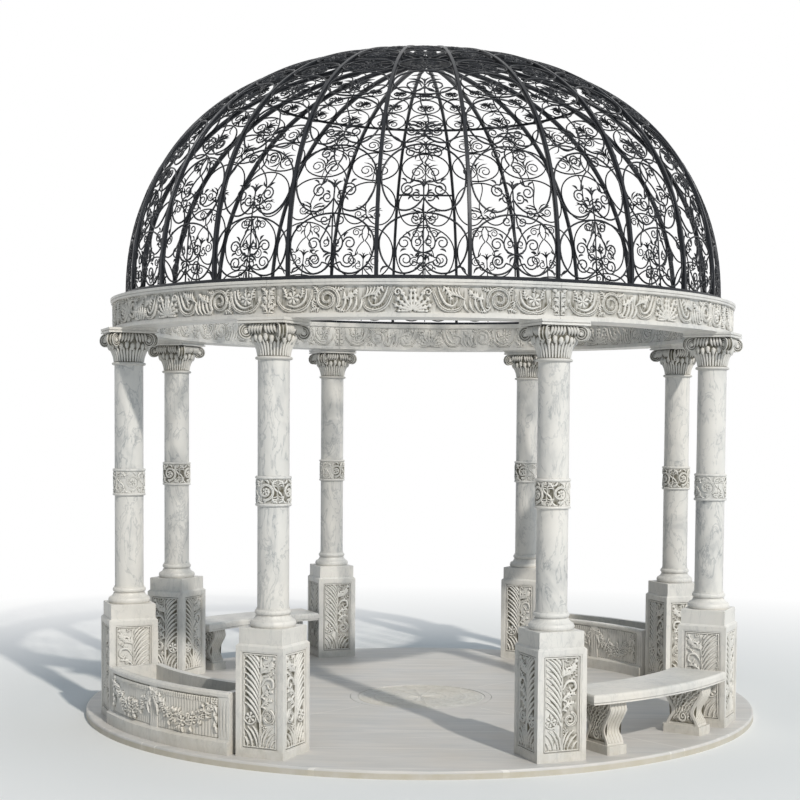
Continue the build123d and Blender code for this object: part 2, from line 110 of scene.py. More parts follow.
shaft_radii = plan("lower_shafts")[0]
RING = float(shaft_radii.max() + shaft_radii.min()) / 2
floor_level = high("floor_slab")
beam_radii, beam_angles = plan("ring_beam_3")
OPEN_HALF = float(beam_angles.max())
CLOSED_HALF = QUARTER / 2 - OPEN_HALF
print(f"columns stand {RING:.3f} m out, {degrees(2 * OPEN_HALF):.1f} degrees apart at an open bay")

# %% [markdown]
# ## Camera
# The picture was taken from about 13 m away at a little over standing height, looking
# slightly down. The lens is a short telephoto and the frame is shifted up, so that the dome
# and the floor both fit while the columns stay nearly upright.

# %% Place the camera
CAMERA_DISTANCE = 13.089
CAMERA_HEIGHT = 2.453
CAMERA_BEARING = radians(-88.31)
CAMERA_HEADING = radians(0.82)
CAMERA_PITCH = radians(-2.79)
CAMERA_ROLL = radians(0.48)
CAMERA_LENS = 68.06
CAMERA_SHIFT = (-0.0568, 0.1191)
FILM_WIDTH = 36.0
scene = bpy.context.scene


def placed(name, data):
    """A new object at the origin, linked to the scene."""
    made = bpy.data.objects.new(name, data)
    scene.collection.objects.link(made)
    return made


camera_place = Vector(polar(CAMERA_DISTANCE, CAMERA_BEARING, CAMERA_HEIGHT))
camera_data = bpy.data.cameras.new("camera")
camera_data.sensor_width = FILM_WIDTH
camera_data.lens = CAMERA_LENS
camera_data.shift_x, camera_data.shift_y = CAMERA_SHIFT
scene.camera = placed("camera", camera_data)
turn = Matrix.Rotation(CAMERA_HEADING, 4, "Z") @ Matrix.Rotation(radians(90) + CAMERA_PITCH, 4, "X")
turn = turn @ Matrix.Rotation(CAMERA_ROLL, 4, "Z")
scene.camera.matrix_world = Matrix.Translation(camera_place) @ turn
print("camera stands at", tuple(round(v, 3) for v in camera_place))

# %% [markdown]
# ## Writing shaders as sums
# A finish is easier to read as maths than as dozens of node calls. `Wired` wraps one socket
# of a tree and gives it Python's operators, so `1 - mask * 0.5` adds the Math nodes by
# itself. `Tree` makes any node from its type, the values or links of its sockets and its
# settings, and `Finish` is the tree of one material. The sky, the ground and the geometry
# trees are made the same way.

# %% Wrap sockets, trees and materials


def operator(operation):
    """A method that puts one Math node on what it is called with."""
    return lambda self, *other: self.math(operation, self, *other)


class Wired:
    """A number socket that Python's operators work on."""

    def __init__(self, tree, socket):
        self.tree = tree
        self.socket = socket

    def math(self, operation, *values):
        sockets = dict(enumerate(values))
        return Wired(self.tree, self.tree.out("ShaderNodeMath", sockets, operation=operation))

    __add__ = __radd__ = operator("ADD")
    __mul__ = __rmul__ = operator("MULTIPLY")
    __sub__ = operator("SUBTRACT")
    __truediv__ = operator("DIVIDE")
    __pow__ = operator("POWER")
    __gt__ = operator("GREATER_THAN")
    __lt__ = operator("LESS_THAN")
    __abs__ = operator("ABSOLUTE")

    def __rsub__(self, other):
        return self.math("SUBTRACT", other, self)

    def clamped(self):
        """The number held between nought and one."""
        return self.math("MAXIMUM", self.math("MINIMUM", self, 1.0), 0.0)


class Tree:
    """A node tree that makes its nodes in one way."""

    def node(self, kind, sockets=None, **settings):
        """Make a node, set its settings first and then the values or links of its sockets."""
        made = self.tree.nodes.new(kind)
        for setting, value in settings.items():
            setattr(made, setting, value)
        for key, value in (sockets or {}).items():
            if isinstance(value, Wired):
                value = value.socket
            if isinstance(value, bpy.types.NodeSocket):
                self.tree.links.new(value, made.inputs[key])
            else:
                made.inputs[key].default_value = value
        return made

    def out(self, kind, sockets=None, **settings):
        """Make a node and return its first output."""
        return self.node(kind, sockets, **settings).outputs[0]


class Finish(Tree):
    """The shader tree of one material, or of the sky."""

    def __init__(self, owner):
        owner.use_nodes = True
        self.owner = owner
        self.tree = owner.node_tree
        self.tree.nodes.clear()

    def surface(self, **sockets):
        """Make the Principled shader and the output, from names with _ for spaces."""
        named = {key.replace("_", " "): value for key, value in sockets.items()}
        shader = self.out("ShaderNodeBsdfPrincipled", named)
        self.node("ShaderNodeOutputMaterial", {"Surface": shader})
        return self.owner

    def shown(self, output, share, first, second):
        """Mix two shaders and send them to the output."""
        mix = self.out("ShaderNodeMixShader", {0: share, 1: first, 2: second})
        self.node(output, {"Surface": mix})

    def place(self):
        return self.node("ShaderNodeTexCoord").outputs["Object"]

    def stretched(self, scale, rotation=(0, 0, 0), place=(0, 0, 0)):
        """The surface's coordinates, turned and stretched."""
        sockets = {"Vector": self.place(), "Location": place, "Rotation": rotation, "Scale": scale}
        return self.out("ShaderNodeMapping", sockets)

    def noise(self, scale, detail, roughness, vector=None, distortion=0.0):
        sockets = {"Vector": vector or self.place(), "Scale": scale, "Detail": detail}
        sockets.update(Roughness=roughness, Distortion=distortion)
        return Wired(self, self.out("ShaderNodeTexNoise", sockets))

    def axes(self, vector=None):
        """The X, Y and Z of the surface, or of another vector, as three numbers."""
        split = self.node("ShaderNodeSeparateXYZ", {0: vector or self.place()})
        return [Wired(self, split.outputs[i]) for i in range(3)]

    def mixed(self, share, first, second):
        """Mix two colours; a plain tuple stands for a colour of its own."""
        sockets = {0: share}
        for key, colour in ((6, first), (7, second)):
            sockets[key] = (*colour, 1) if isinstance(colour, tuple) else colour
        return self.node("ShaderNodeMix", sockets, data_type="RGBA").outputs[2]

    def attribute(self, name):
        """A number stored on the mesh's points; it is nought where the mesh has none."""
        return Wired(self, self.node("ShaderNodeAttribute", attribute_name=name).outputs["Fac"])

    def bump(self, height, strength, distance):
        """The surface's normal, raised by a height that runs from 0 to 1."""
        sockets = {"Height": height, "Strength": strength, "Distance": distance}
        return self.out("ShaderNodeBump", sockets)

    def seen_directly(self):
        """One for the camera's own rays and for mirrored or refracted ones, nought for light."""
        path = self.node("ShaderNodeLightPath").outputs
        kinds = ("Camera", "Glossy", "Transmission")
        rays = [Wired(self, path[f"Is {kind} Ray"]) for kind in kinds]
        return (rays[0] + rays[1] + rays[2]).clamped()


print("shader helpers are ready")

# %% [markdown]
# ## Light and ground
# Marble shows its carving only when light comes from one side. A low, clear sun stands to
# the right of the camera and the sky is brighter on that side too, so the left faces of the
# blocks fall into cool shade. The sky looks pure white to the camera and to reflections,
# while its light on the stone is held lower so that pale marble does not clip. The ground is
# pale near the pavilion, where it takes the shadow, and turns into the white background
# further out.

# %% Set the sky, the soft sun and the ground
SKY_LIGHT = 0.46
SKY_SLANT = 0.75
SKY_BLUE = (0.775, 0.89, 1.0, 1)
WHITE = (1, 1, 1, 1)
SUN_POWER = 2.42
SUN_COLOUR = (1.0, 0.957, 0.888)
SUN_TRAVEL = Vector((-0.5, 0.866, -0.7))
SUN_SOFTNESS = radians(1.6)
GROUND_PALE = (0.84, 0.84, 0.83, 1)
GROUND_SIDE = 160.0
GROUND_FADE_START = 3.4
GROUND_FADE_LENGTH = 6.0

scene.view_settings.view_transform = "Standard"
scene.world = bpy.data.worlds.new("sky")
sky = Finish(scene.world)
sideways = sky.axes(sky.node("ShaderNodeTexCoord").outputs["Generated"])[0]
sky_strength = (sideways * SKY_SLANT + 1) * SKY_LIGHT
lit_sky = sky.out("ShaderNodeBackground", {"Color": SKY_BLUE, "Strength": sky_strength})
white_sky = sky.out("ShaderNodeBackground", {"Color": WHITE})
sky.shown("ShaderNodeOutputWorld", sky.seen_directly(), lit_sky, white_sky)

sun_data = bpy.data.lights.new("soft_sun", "SUN")
sun_data.energy = SUN_POWER
sun_data.angle = SUN_SOFTNESS
sun_data.color = SUN_COLOUR
sun = placed("soft_sun", sun_data)
sun.rotation_mode = "QUATERNION"
sun.rotation_quaternion = SUN_TRAVEL.to_track_quat("-Z", "Y")

ground_paint = Finish(bpy.data.materials.new("ground"))
ground_x, ground_y = ground_paint.axes()[:2]
from_middle = (ground_x * ground_x + ground_y * ground_y) ** 0.5
whitening = ((from_middle - GROUND_FADE_START) / GROUND_FADE_LENGTH).clamped()
pale = ground_paint.out("ShaderNodeBsdfDiffuse", {"Color": GROUND_PALE})
glow = ground_paint.out("ShaderNodeEmission", {"Color": WHITE, "Strength": 1.0})
ground_paint.shown("ShaderNodeOutputMaterial", whitening * ground_paint.seen_directly(), pale, glow)

ground_mesh = bpy.data.meshes.new("ground")
half = GROUND_SIDE / 2
corners = [(-half, -half, 0), (half, -half, 0), (half, half, 0), (-half, half, 0)]
ground_mesh.from_pydata(corners, [], [(0, 1, 2, 3)])
ground_mesh.materials.append(ground_paint.owner)
ground = placed("ground", ground_mesh)
print("sky, sun and ground are set")

# %% [markdown]
# ## Marble
# The stone is a pale grey-white marble. It has soft clouds, thin grey veins that run
# slantwise, a warm tint where weather has stained it, and dirt with painted shade in the
# hollows of carved pieces. A vein is where a noise crosses its middle value: the closer to
# the crossing, the darker. Carved pieces store how open each point lies, so that dirt and
# painted shade fill the hollows and the ridges get a painted highlight, as if rubbed bright.

# %% Mix the marbles
PALE = (0.742, 0.722, 0.682)
CLOUD = (0.605, 0.603, 0.583)
VEIN = (0.235, 0.255, 0.275)
STAIN = (0.63, 0.545, 0.42)
MUD = (0.42, 0.38, 0.3)
DARK_MUD = (0.4, 0.36, 0.28)
# The next colours paint carved hollows dark with dirt and painted shade, and ridges pale with a
# painted highlight, as on rubbed stone.
DIRT_AND_SHADE = (0.096, 0.088, 0.06)
RUBBED_HIGHLIGHT = (0.9, 0.886, 0.842)
RUBBED_HIGHLIGHT_SHARE = 0.75
HOLLOW_CURVE = 0.95


def marble_colour(f, vein_strength, warm_share, slant):
    """The colour of veined marble, with its clouds and its veins as numbers beside it."""
    clouds = f.noise(2.3, 5.0, 0.55)
    drift = f.stretched((1.0, 1.0, 0.42), slant)
    bands = f.noise(3.1, 6.0, 0.58, drift, 1.1)
    fine = f.noise(9.0, 7.0, 0.6, drift, 0.7)
    wide_vein = (1 - abs(bands - 0.5) * 9.0).clamped() ** 2.0
    thin_vein = (1 - abs(fine - 0.5) * 34.0).clamped() ** 1.2
    patches = (clouds * 2.4 - 0.75).clamped()
    both_veins = wide_vein * 0.5 * patches + thin_vein * 0.62 * (patches * 0.6 + 0.4)
    veins = (both_veins * vein_strength).clamped()
    base = f.mixed(((clouds - 0.35) * 2.2).clamped(), PALE, CLOUD)
    veined = f.mixed(veins, base, VEIN)
    seeping = f.noise(1.1, 3.0, 0.5, f.stretched((1, 1, 0.5), place=(4.7, 1.3, 2.9)))
    stain = (seeping * 3.0 - 1.25).clamped()
    return f.mixed(stain * warm_share, veined, STAIN), clouds, veins


def splash_dirt(f, reach_up):
    """How much rain has splashed up from the floor, from 1 at the floor to 0 above its reach."""
    level = f.axes()[2]
    ragged = f.noise(14.0, 4.0, 0.65)
    return ((1 - (level - floor_level) / reach_up) * (ragged * 2.0 - 0.35)).clamped()


def marble(name, vein_strength, warm_share, slant=(0, 0, 0)):
    """Plain veined marble, a little dirty where it meets the floor."""
    f = Finish(bpy.data.materials.new(name))
    stone, clouds, veins = marble_colour(f, vein_strength, warm_share, slant)
    stone = f.mixed(splash_dirt(f, 0.2) * 0.45, stone, MUD)
    pits = f.noise(160.0, 2.0, 0.6)
    normal = f.bump(pits * 0.6 + veins * 0.4, 0.12, 0.002)
    return f.surface(Base_Color=stone, Roughness=0.36 + clouds * 0.16 + veins * 0.08, Normal=normal)


def carved_marble(name, dirt_and_shade_strength):
    """Marble darkened with dirt and painted shade where its stored openness is under 1, and given a
    painted highlight, as on rubbed stone, where it is over 1.
    """
    f = Finish(bpy.data.materials.new(name))
    stone, clouds, veins = marble_colour(f, 0.3, 0.45, (0.3, 0.2, 0.1))
    dirt_and_painted_light = f.attribute("dirt_and_painted_light")
    # Hollows are darkened with dirt and painted shade; ridges get a painted highlight.
    hollow = (1 - dirt_and_painted_light).clamped() ** HOLLOW_CURVE
    stone = f.mixed((dirt_and_painted_light - 1).clamped() * RUBBED_HIGHLIGHT_SHARE, stone, RUBBED_HIGHLIGHT)
    uneven = f.noise(26.0, 4.0, 0.6)
    dirt_and_shade = (hollow * dirt_and_shade_strength * (uneven * 1.2 + 0.2)).clamped()
    stone = f.mixed(dirt_and_shade, stone, DIRT_AND_SHADE)
    stone = f.mixed(splash_dirt(f, 0.3) * 0.35, stone, DARK_MUD)
    chiselled = f.noise(95.0, 3.0, 0.6)
    normal = f.bump(chiselled, 0.35, 0.0025)
    return f.surface(Base_Color=stone, Roughness=0.5 + dirt_and_shade * 0.3 + clouds * 0.08, Normal=normal)


veined_marble = marble("veined_marble", 1.0, 0.22, slant=(0.5, 0.75, 0.2))
white_marble = marble("white_marble", 0.45, 0.35)
hollow_marble = carved_marble("carved_marble", 1.5)
floor_carving = carved_marble("floor_carving", 0.32)
print("marbles mixed")

# %% [markdown]
# ## Paving, iron and the frame's own nodes
# The floor is honed paving of the same marble, a little warmer, with straight pale joints
# and a yellowed edge at the foot of the slab. The iron is dark paint on bent bars: it
# has a soft sheen, is a touch bluish in the light and shows faint rust where it is worn.

# %% Mix the paving and the iron
COURSE = 0.64
JOINT_WIDTH = 0.011
EDGE_LEVEL = floor_level - 0.02
PAVING = (0.655, 0.63, 0.6)
PAVING_GREY = (0.47, 0.475, 0.475)
PAVING_WARM = (0.6, 0.535, 0.46)
JOINT_PALE = (0.8, 0.775, 0.73)
EDGE_YELLOW = (0.455, 0.415, 0.325)
IRON = (0.009, 0.01, 0.013)
IRON_LIGHT = (0.022, 0.026, 0.033)
RUST = (0.105, 0.05, 0.026)


def paving(name):
    f = Finish(bpy.data.materials.new(name))
    x, y, z = f.axes()
    streaks = f.noise(3.0, 6.0, 0.6, f.stretched((0.5, 3.2, 1.0)), 0.5)
    cloud = f.noise(1.6, 4.0, 0.5)
    stone = f.mixed((streaks * 1.7 - 0.45).clamped(), PAVING, PAVING_GREY)
    stone = f.mixed((cloud * 2.2 - 0.75).clamped() * 0.5, stone, PAVING_WARM)
    courses = y / COURSE + 0.31
    course = courses.math("FRACT", courses)
    row_joint = abs(course - 0.5) > 0.5 - JOINT_WIDTH / COURSE / 2
    diagonal = ((x * x + y * y) ** 0.5 > 0.72) * (abs(abs(x) - abs(y)) < JOINT_WIDTH * 0.7)
    joint = (row_joint + diagonal).clamped()
    stone = f.mixed(joint * 0.6, stone, JOINT_PALE)
    worn_edge = (z < EDGE_LEVEL) * (f.noise(9.0, 4.0, 0.6) * 1.1 + 0.15).clamped()
    stone = f.mixed(worn_edge, stone, EDGE_YELLOW)
    pits = f.noise(120.0, 3.0, 0.6)
    normal = f.bump(pits * 0.5 + streaks * 0.3 - joint * 0.4, 0.25, 0.002)
    return f.surface(Base_Color=stone, Roughness=0.44 + streaks * 0.2, Normal=normal)


def painted_iron(name):
    f = Finish(bpy.data.materials.new(name))
    uneven = f.noise(7.0, 5.0, 0.6)
    speckle = f.noise(55.0, 4.0, 0.7)
    rust = ((speckle * 3.4 - 2.05).clamped() * (uneven * 1.8 - 0.4).clamped()).clamped()
    paint = f.mixed(rust * 0.5, f.mixed(uneven, IRON, IRON_LIGHT), RUST)
    normal = f.bump(speckle * 0.6 + uneven * 0.4, 0.3, 0.0015)
    dull = 0.27 + uneven * 0.2 + rust * 0.2
    return f.surface(Base_Color=paint, Roughness=dull, Metallic=0.5, Normal=normal)


floor_marble = paving("floor_marble")
black_iron = painted_iron("black_iron")

# %% Give the frame's nodes their finishes
FINISH_OF = {
    "dome": black_iron,
    "floor_slab": floor_marble,
    "floor_medallion": floor_marble,
    "lower_shafts": veined_marble,
    "upper_shafts": veined_marble,
}
for name, node in nodes.items():
    chosen = [finish for start, finish in FINISH_OF.items() if name.startswith(start)]
    node.data.materials.clear()
    node.data.materials.append(chosen[0] if chosen else white_marble)
print("finishes given to", len(nodes), "nodes")

# %% [markdown]
# ## Copies round the axis
# Columns, beam stones, planters, ribs and panels all repeat round one axis. One small
# Geometry Nodes tree turns copies of a mesh: copy i stands at the first angle plus whole
# steps for each pair, plus a second angle for the odd one of a pair. The copies are realized
# and get their material, and the result is kept as a plain mesh.

# %% Build the tree of turned copies


def evaluated(piece):
    """A plain mesh of an object after its modifiers have run."""
    made = piece.evaluated_get(bpy.context.evaluated_depsgraph_get())
    return bpy.data.meshes.new_from_object(made)


class Geometry(Tree):
    """A Geometry Nodes tree with named inputs, kept by their identifiers."""

    def __init__(self, name, **inputs):
        self.tree = bpy.data.node_groups.new(name, "GeometryNodeTree")
        self.keys = {}
        face = self.tree.interface
        face.new_socket("Geometry", in_out="INPUT", socket_type="NodeSocketGeometry")
        for label, kind in inputs.items():
            made = face.new_socket(label, in_out="INPUT", socket_type=f"NodeSocket{kind}")
            self.keys[label] = made.identifier
        face.new_socket("Geometry", in_out="OUTPUT", socket_type="NodeSocketGeometry")
        self.given = self.tree.nodes.new("NodeGroupInput").outputs

    def turned_copies(self, piece):
        """Copies of a piece at the angles that the tree's inputs give, as instances."""
        labels = ("First", "Step", "Second")
        first, step, second = (Wired(self, self.given[label]) for label in labels)
        pair = Wired(self, self.out("GeometryNodeInputIndex")) * 0.5
        angle = pair.math("FLOOR", pair) * step + pair.math("FRACT", pair) * 2.0 * second + first
        heap = {"Count": self.given["Count"], "Offset": (0, 0, 0)}
        places = self.out("GeometryNodeMeshLine", heap)
        euler = self.out("ShaderNodeCombineXYZ", {"Z": angle})
        rotation = self.out("FunctionNodeEulerToRotation", {"Euler": euler})
        sockets = {"Points": places, "Instance": piece, "Rotation": rotation}
        return self.out("GeometryNodeInstanceOnPoints", sockets)

    def finish(self, geometry):
        """Realize the copies, give them their material and send them to the output."""
        real = self.out("GeometryNodeRealizeInstances", {"Geometry": geometry})
        sockets = {"Geometry": real, "Material": self.given["Material"]}
        self.node("NodeGroupOutput", {0: self.out("GeometryNodeSetMaterial", sockets)})

    def applied(self, name, mesh, **values):
        """Run the tree on a mesh and return a new object that holds the result as plain mesh."""
        piece = placed(name, mesh)
        modifier = piece.modifiers.new(self.tree.name, "NODES")
        modifier.node_group = self.tree
        for label, value in values.items():
            modifier[self.keys[label]] = value
        result = evaluated(piece)
        piece.modifiers.remove(modifier)
        piece.data = result
        return piece


def around(count, first, step, second):
    """Where copies stand: whole steps from pair to pair, a second angle within a pair."""
    return {"Count": count, "First": first, "Step": step, "Second": second}


ROUND = dict(Count="Int", First="Float", Step="Float", Second="Float", Material="Material")
copies_tree = Geometry("turned_copies", **ROUND)
copies_tree.finish(copies_tree.turned_copies(copies_tree.given["Geometry"]))

AT_COLUMNS = around(8, FRONT - OPEN_HALF, QUARTER, 2 * OPEN_HALF)
AT_OPEN_BAYS = around(4, FRONT, 2 * QUARTER, QUARTER)
AT_CLOSED_BAYS = around(4, FRONT + QUARTER / 2, 2 * QUARTER, QUARTER)
AT_PLANTERS = around(2, FRONT - QUARTER / 2, 0.0, 2 * QUARTER)
AT_BENCHES = around(2, FRONT + QUARTER / 2, 0.0, 2 * QUARTER)
AT_MIDDLE = around(1, 0.0, 0.0, 0.0)
SMOOTH_UNDER = radians(42)


def count_triangles(mesh):
    mesh.calc_loop_triangles()
    return len(mesh.loop_triangles)


def settle(piece, replaced=(), smooth_under=SMOOTH_UNDER):
    """Smooth a finished piece, tie it to the pavilion, hide the nodes it replaces and print how
    many triangles it has.
    """
    piece.data.shade_smooth()
    piece.data.set_sharp_from_angle(angle=smooth_under)
    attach(piece, "root")
    if replaced:
        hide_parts(*replaced)
    print(piece.name, "has", count_triangles(piece.data), "triangles")


def repeated(name, mesh, places, material=hollow_marble, replaced=()):
    """Turn copies of a mesh round the axis and settle them as one piece."""
    settle(copies_tree.applied(name, mesh, Material=material, **places), replaced)


print("tree of turned copies is ready")

# %% [markdown]
# ## Carving by height
# A carver lowers the ground and leaves the ornament standing, so a relief is a height above
# the ground at each point of a grid. A stroke is a row of round dabs that grow or shrink
# along a path; where strokes meet, the higher one stays. Grooves are cut into what stands.
# Dirt and painted shade are laid in narrow hollows and along the foot of the ornament, and a
# painted highlight on its ridges, so each point also stores how open it lies: its own height
# against the mean height around it. The grid is closed into a thin plate with a back, laid
# on its curved or flat face, and then thinned, so that flat ground costs few triangles.

# %% Draw the paths of strokes


def smooth_path(points, count=8):
    """Points of a smooth curve through the given ones."""
    ends = [points[0], *points, points[-1]]
    rows = []
    for spots in zip(ends, ends[1:], ends[2:], ends[3:]):
        for t in np.linspace(0, 1, count, endpoint=False):
            t2, t3 = t**2, t**3
            weights = (-t + 2 * t2 - t3, 2 - 5 * t2 + 3 * t3, t + 4 * t2 - 3 * t3, t3 - t2)
            rows.append([0.5 * sum(w * p[axis] for w, p in zip(weights, spots)) for axis in (0, 1)])
    return rows + [points[-1]]


def bent(start, end, bow, count=9):
    """Points of a path from start to end that bows out sideways by a share of its length."""
    (u0, v0), (u1, v1) = start, end
    across, up = u1 - u0, v1 - v0
    rows = []
    for share in np.linspace(0, 1, count):
        push = bow * 4 * share * (1 - share)
        rows.append((u0 + across * share - up * push, v0 + up * share + across * push))
    return rows


def wound(centre, radius, inner, start, sweep, count=34):
    """Points of a spiral from its outer radius in to its eye, over angles in degrees."""
    rows = []
    for share in np.linspace(0, 1, count):
        r = radius + (inner - radius) * share
        angle = radians(start) + radians(sweep) * share
        rows.append((centre[0] + r * cos(angle), centre[1] + r * sin(angle)))
    return rows


print("paths of strokes are ready")

# %% Work on meshes


def facing_outward(mesh, in_triangles=False):
    """Turn the faces of a closed mesh outward, and split them where triangles are wanted."""
    work = bmesh.new()
    work.from_mesh(mesh)
    bmesh.ops.recalc_face_normals(work, faces=work.faces)
    if in_triangles:
        bmesh.ops.triangulate(work, faces=work.faces)
    work.to_mesh(mesh)
    work.free()


def with_dirt_and_painted_light(mesh, dirt_and_painted_light_values):
    """Store how open each point of a mesh lies, which the carved marble paints as dirt, painted
    shade or a painted highlight.
    """
    mesh.attributes.new("dirt_and_painted_light", "FLOAT", "POINT").data.foreach_set("value", dirt_and_painted_light_values)


def thinned(mesh, target):
    """Collapse edges where the shape is plain until about a target of triangles is left."""
    share = min(target / count_triangles(mesh), 1.0)
    facing_outward(mesh, in_triangles=True)
    holder = placed("thinning", mesh)
    holder.modifiers.new("thin", "DECIMATE").ratio = share
    made = evaluated(holder)
    bpy.data.objects.remove(holder)
    return made


def joined(meshes):
    """One mesh from several, with their stored dirt and painted shade."""
    shape = bmesh.new()
    for mesh in meshes:
        shape.from_mesh(mesh)
    whole = bpy.data.meshes.new("joined")
    shape.to_mesh(whole)
    shape.free()
    return whole


def spread(values, count):
    """Values spread evenly over a count of points; a plain number stays the same."""
    values = np.atleast_1d(values)
    return np.interp(np.linspace(0, 1, count), np.linspace(0, 1, len(values)), values)


def moved(mesh, matrix):
    copy = mesh.copy()
    copy.transform(matrix)
    return copy


def on_drum(radius, level, outward=1, x=0.0):
    """A function that bends a flat spot and its height round an upright drum at x."""

    def place(u, v, height):
        r = radius + outward * height
        return (x + r * cos(u / radius), r * sin(u / radius), level + v)

    return place


print("mesh tools are ready")

# %% Carve reliefs
# The next numbers shape the openness map that is painted as dirt and shade in hollows and as a
# highlight on ridges.
HOLLOW_REACH = 0.0095
HOLLOW_DROP = 0.26
RIDGE_HIGHLIGHT_GAIN = 1.5
NARROW_LEVEL = 0.45
DAB_STEP = 0.6
EDGE_MARGIN = 0.004
THIN_BACK = 0.003
PLATE_BACK = 0.004


class Relief:
    """A rectangle of stone that strokes raise; u runs along it and v up, from its middle."""

    def __init__(self, width, height, cell, top):
        counts = [max(int(round(side / cell)), 8) + 1 for side in (width, height)]
        self.u = np.linspace(-width / 2, width / 2, counts[0])
        self.v = np.linspace(-height / 2, height / 2, counts[1])
        self.cell, self.top = cell, top
        self.raised = np.zeros((len(self.v), len(self.u)))

    def dab(self, field, u, v, radius, top):
        """Raise a round dome on a field."""
        first_u, last_u = np.searchsorted(self.u, (u - radius, u + radius))
        first_v, last_v = np.searchsorted(self.v, (v - radius, v + radius))
        if first_u == last_u or first_v == last_v:
            return
        across = (self.u[first_u:last_u] - u) / radius
        up = (self.v[first_v:last_v] - v) / radius
        left = 1 - across[None, :] ** 2 - up[:, None] ** 2
        patch = field[first_v:last_v, first_u:last_u]
        np.maximum(patch, top * np.sqrt(np.clip(left, 0, None)), out=patch)

    def along(self, field, points, radii, top):
        """Dab along a path; one radius, or several that are spread evenly over its length."""
        radii = np.atleast_1d(radii)
        path = np.array(points, dtype=float)
        steps = np.hypot(*np.diff(path, axis=0).T)
        reached = np.concatenate(([0], np.cumsum(steps)))
        count = max(int(reached[-1] / (self.cell * DAB_STEP)), 2)
        where = np.linspace(0, reached[-1], count)
        us = np.interp(where, reached, path[:, 0])
        vs = np.interp(where, reached, path[:, 1])
        widths = np.interp(where / reached[-1], np.linspace(0, 1, len(radii)), radii)
        for u, v, width in zip(us, vs, widths):
            level = NARROW_LEVEL + (1 - NARROW_LEVEL) * width / radii.max()
            self.dab(field, u, v, width, top * level)

    def stroke(self, points, radii, share=1.0):
        """Raise a path to a share of the relief's height."""
        self.along(self.raised, points, radii, self.top * share)

    def groove(self, points, radii, share):
        """Cut a channel into what stands."""
        cut = np.zeros_like(self.raised)
        self.along(cut, points, radii, self.top * share)
        self.raised = np.clip(self.raised - cut, 0, None)

    def channelled(self, points, radii, cut, share=0.5):
        """A raised path with a channel along it."""
        self.stroke(points, radii)
        self.groove(points, cut, share)

    def blades(self, rows, bow, radii, share=1.0):
        """Bowed strokes from roots to tips."""
        for root, tip in rows:
            self.stroke(bent(root, tip, bow), radii, share)

    def rosette(self, centre, radius, petals=6, turn=0.0):
        """A round flower: petals about a button."""
        for petal in range(petals):
            angle = turn + 2 * pi * petal / petals
            petal_line = [
                (centre[0] + reach * radius * cos(angle), centre[1] + reach * radius * sin(angle))
                for reach in (0.3, 0.78)
            ]
            self.stroke(petal_line, (radius * 0.13, radius * 0.27), 0.85)
        self.stroke([centre, (centre[0] + 0.001, centre[1])], radius * 0.24)

    def leaf(self, root, tip, width, share=1.0, lobes=4, bow=0.12):
        """A leaf with a bent midrib and pairs of pointed lobes that lean towards its tip."""
        rib = bent(root, tip, bow)
        top = self.top * share
        length = hypot(tip[0] - root[0], tip[1] - root[1])
        heading = atan2(tip[1] - root[1], tip[0] - root[0])
        for lobe in range(lobes):
            way = (lobe + 0.35) / lobes
            start = rib[int(way * (len(rib) - 1))]
            reach = width * (1 - 0.65 * way)
            for side in (-1, 1):
                angle = heading + side * radians(52 - 18 * way)
                end = (start[0] + reach * cos(angle), start[1] + reach * sin(angle))
                radii = (length * 0.055, length * 0.082, 0.002)
                self.along(self.raised, bent(start, end, side * -0.16, 5), radii, top * 0.88)
        self.along(self.raised, rib, (length * 0.06, length * 0.068, 0.002), top)

    def leaves(self, rows, width, share=1.0, **form):
        for root, tip in rows:
            self.leaf(root, tip, width, share, **form)

    def sink_edges(self, margin=EDGE_MARGIN):
        """Bring the relief down to the ground within a margin of its border."""
        along_u = np.minimum(self.u - self.u[0], self.u[-1] - self.u)
        along_v = np.minimum(self.v - self.v[0], self.v[-1] - self.v)
        self.raised *= np.clip(np.minimum(along_u[None, :], along_v[:, None]) / margin, 0, 1)

    def mirror(self):
        """Give both halves what either of them has."""
        self.raised = np.maximum(self.raised, self.raised[:, ::-1])

    def dirt_shade_and_highlight(self, frame):
        """How open each point lies: 0 in a narrow hollow, 1 on wide ground, up to 2 on a ridge;
        hollows get dirt and painted shade, ridges a painted highlight.
        """
        reach = max(int(round(HOLLOW_REACH / self.cell)), 1)
        weights = np.exp(-np.linspace(-1.6, 1.6, 2 * reach + 1) ** 2)
        weights /= weights.sum()
        nearby = np.pad(self.raised, reach, constant_values=frame * self.top)
        for axis in (0, 1):
            nearby = np.apply_along_axis(np.convolve, axis, nearby, weights, "valid")
        lift = (self.raised - nearby) / self.top
        # Ridges over 1 get a painted highlight; hollows under 1 get dirt and painted shade.
        ridge_highlights = 1 + np.clip(lift * RIDGE_HIGHLIGHT_GAIN, 0, 1)
        return np.where(lift > 0, ridge_highlights, 1 + np.clip(lift / HOLLOW_DROP, -1, 0))

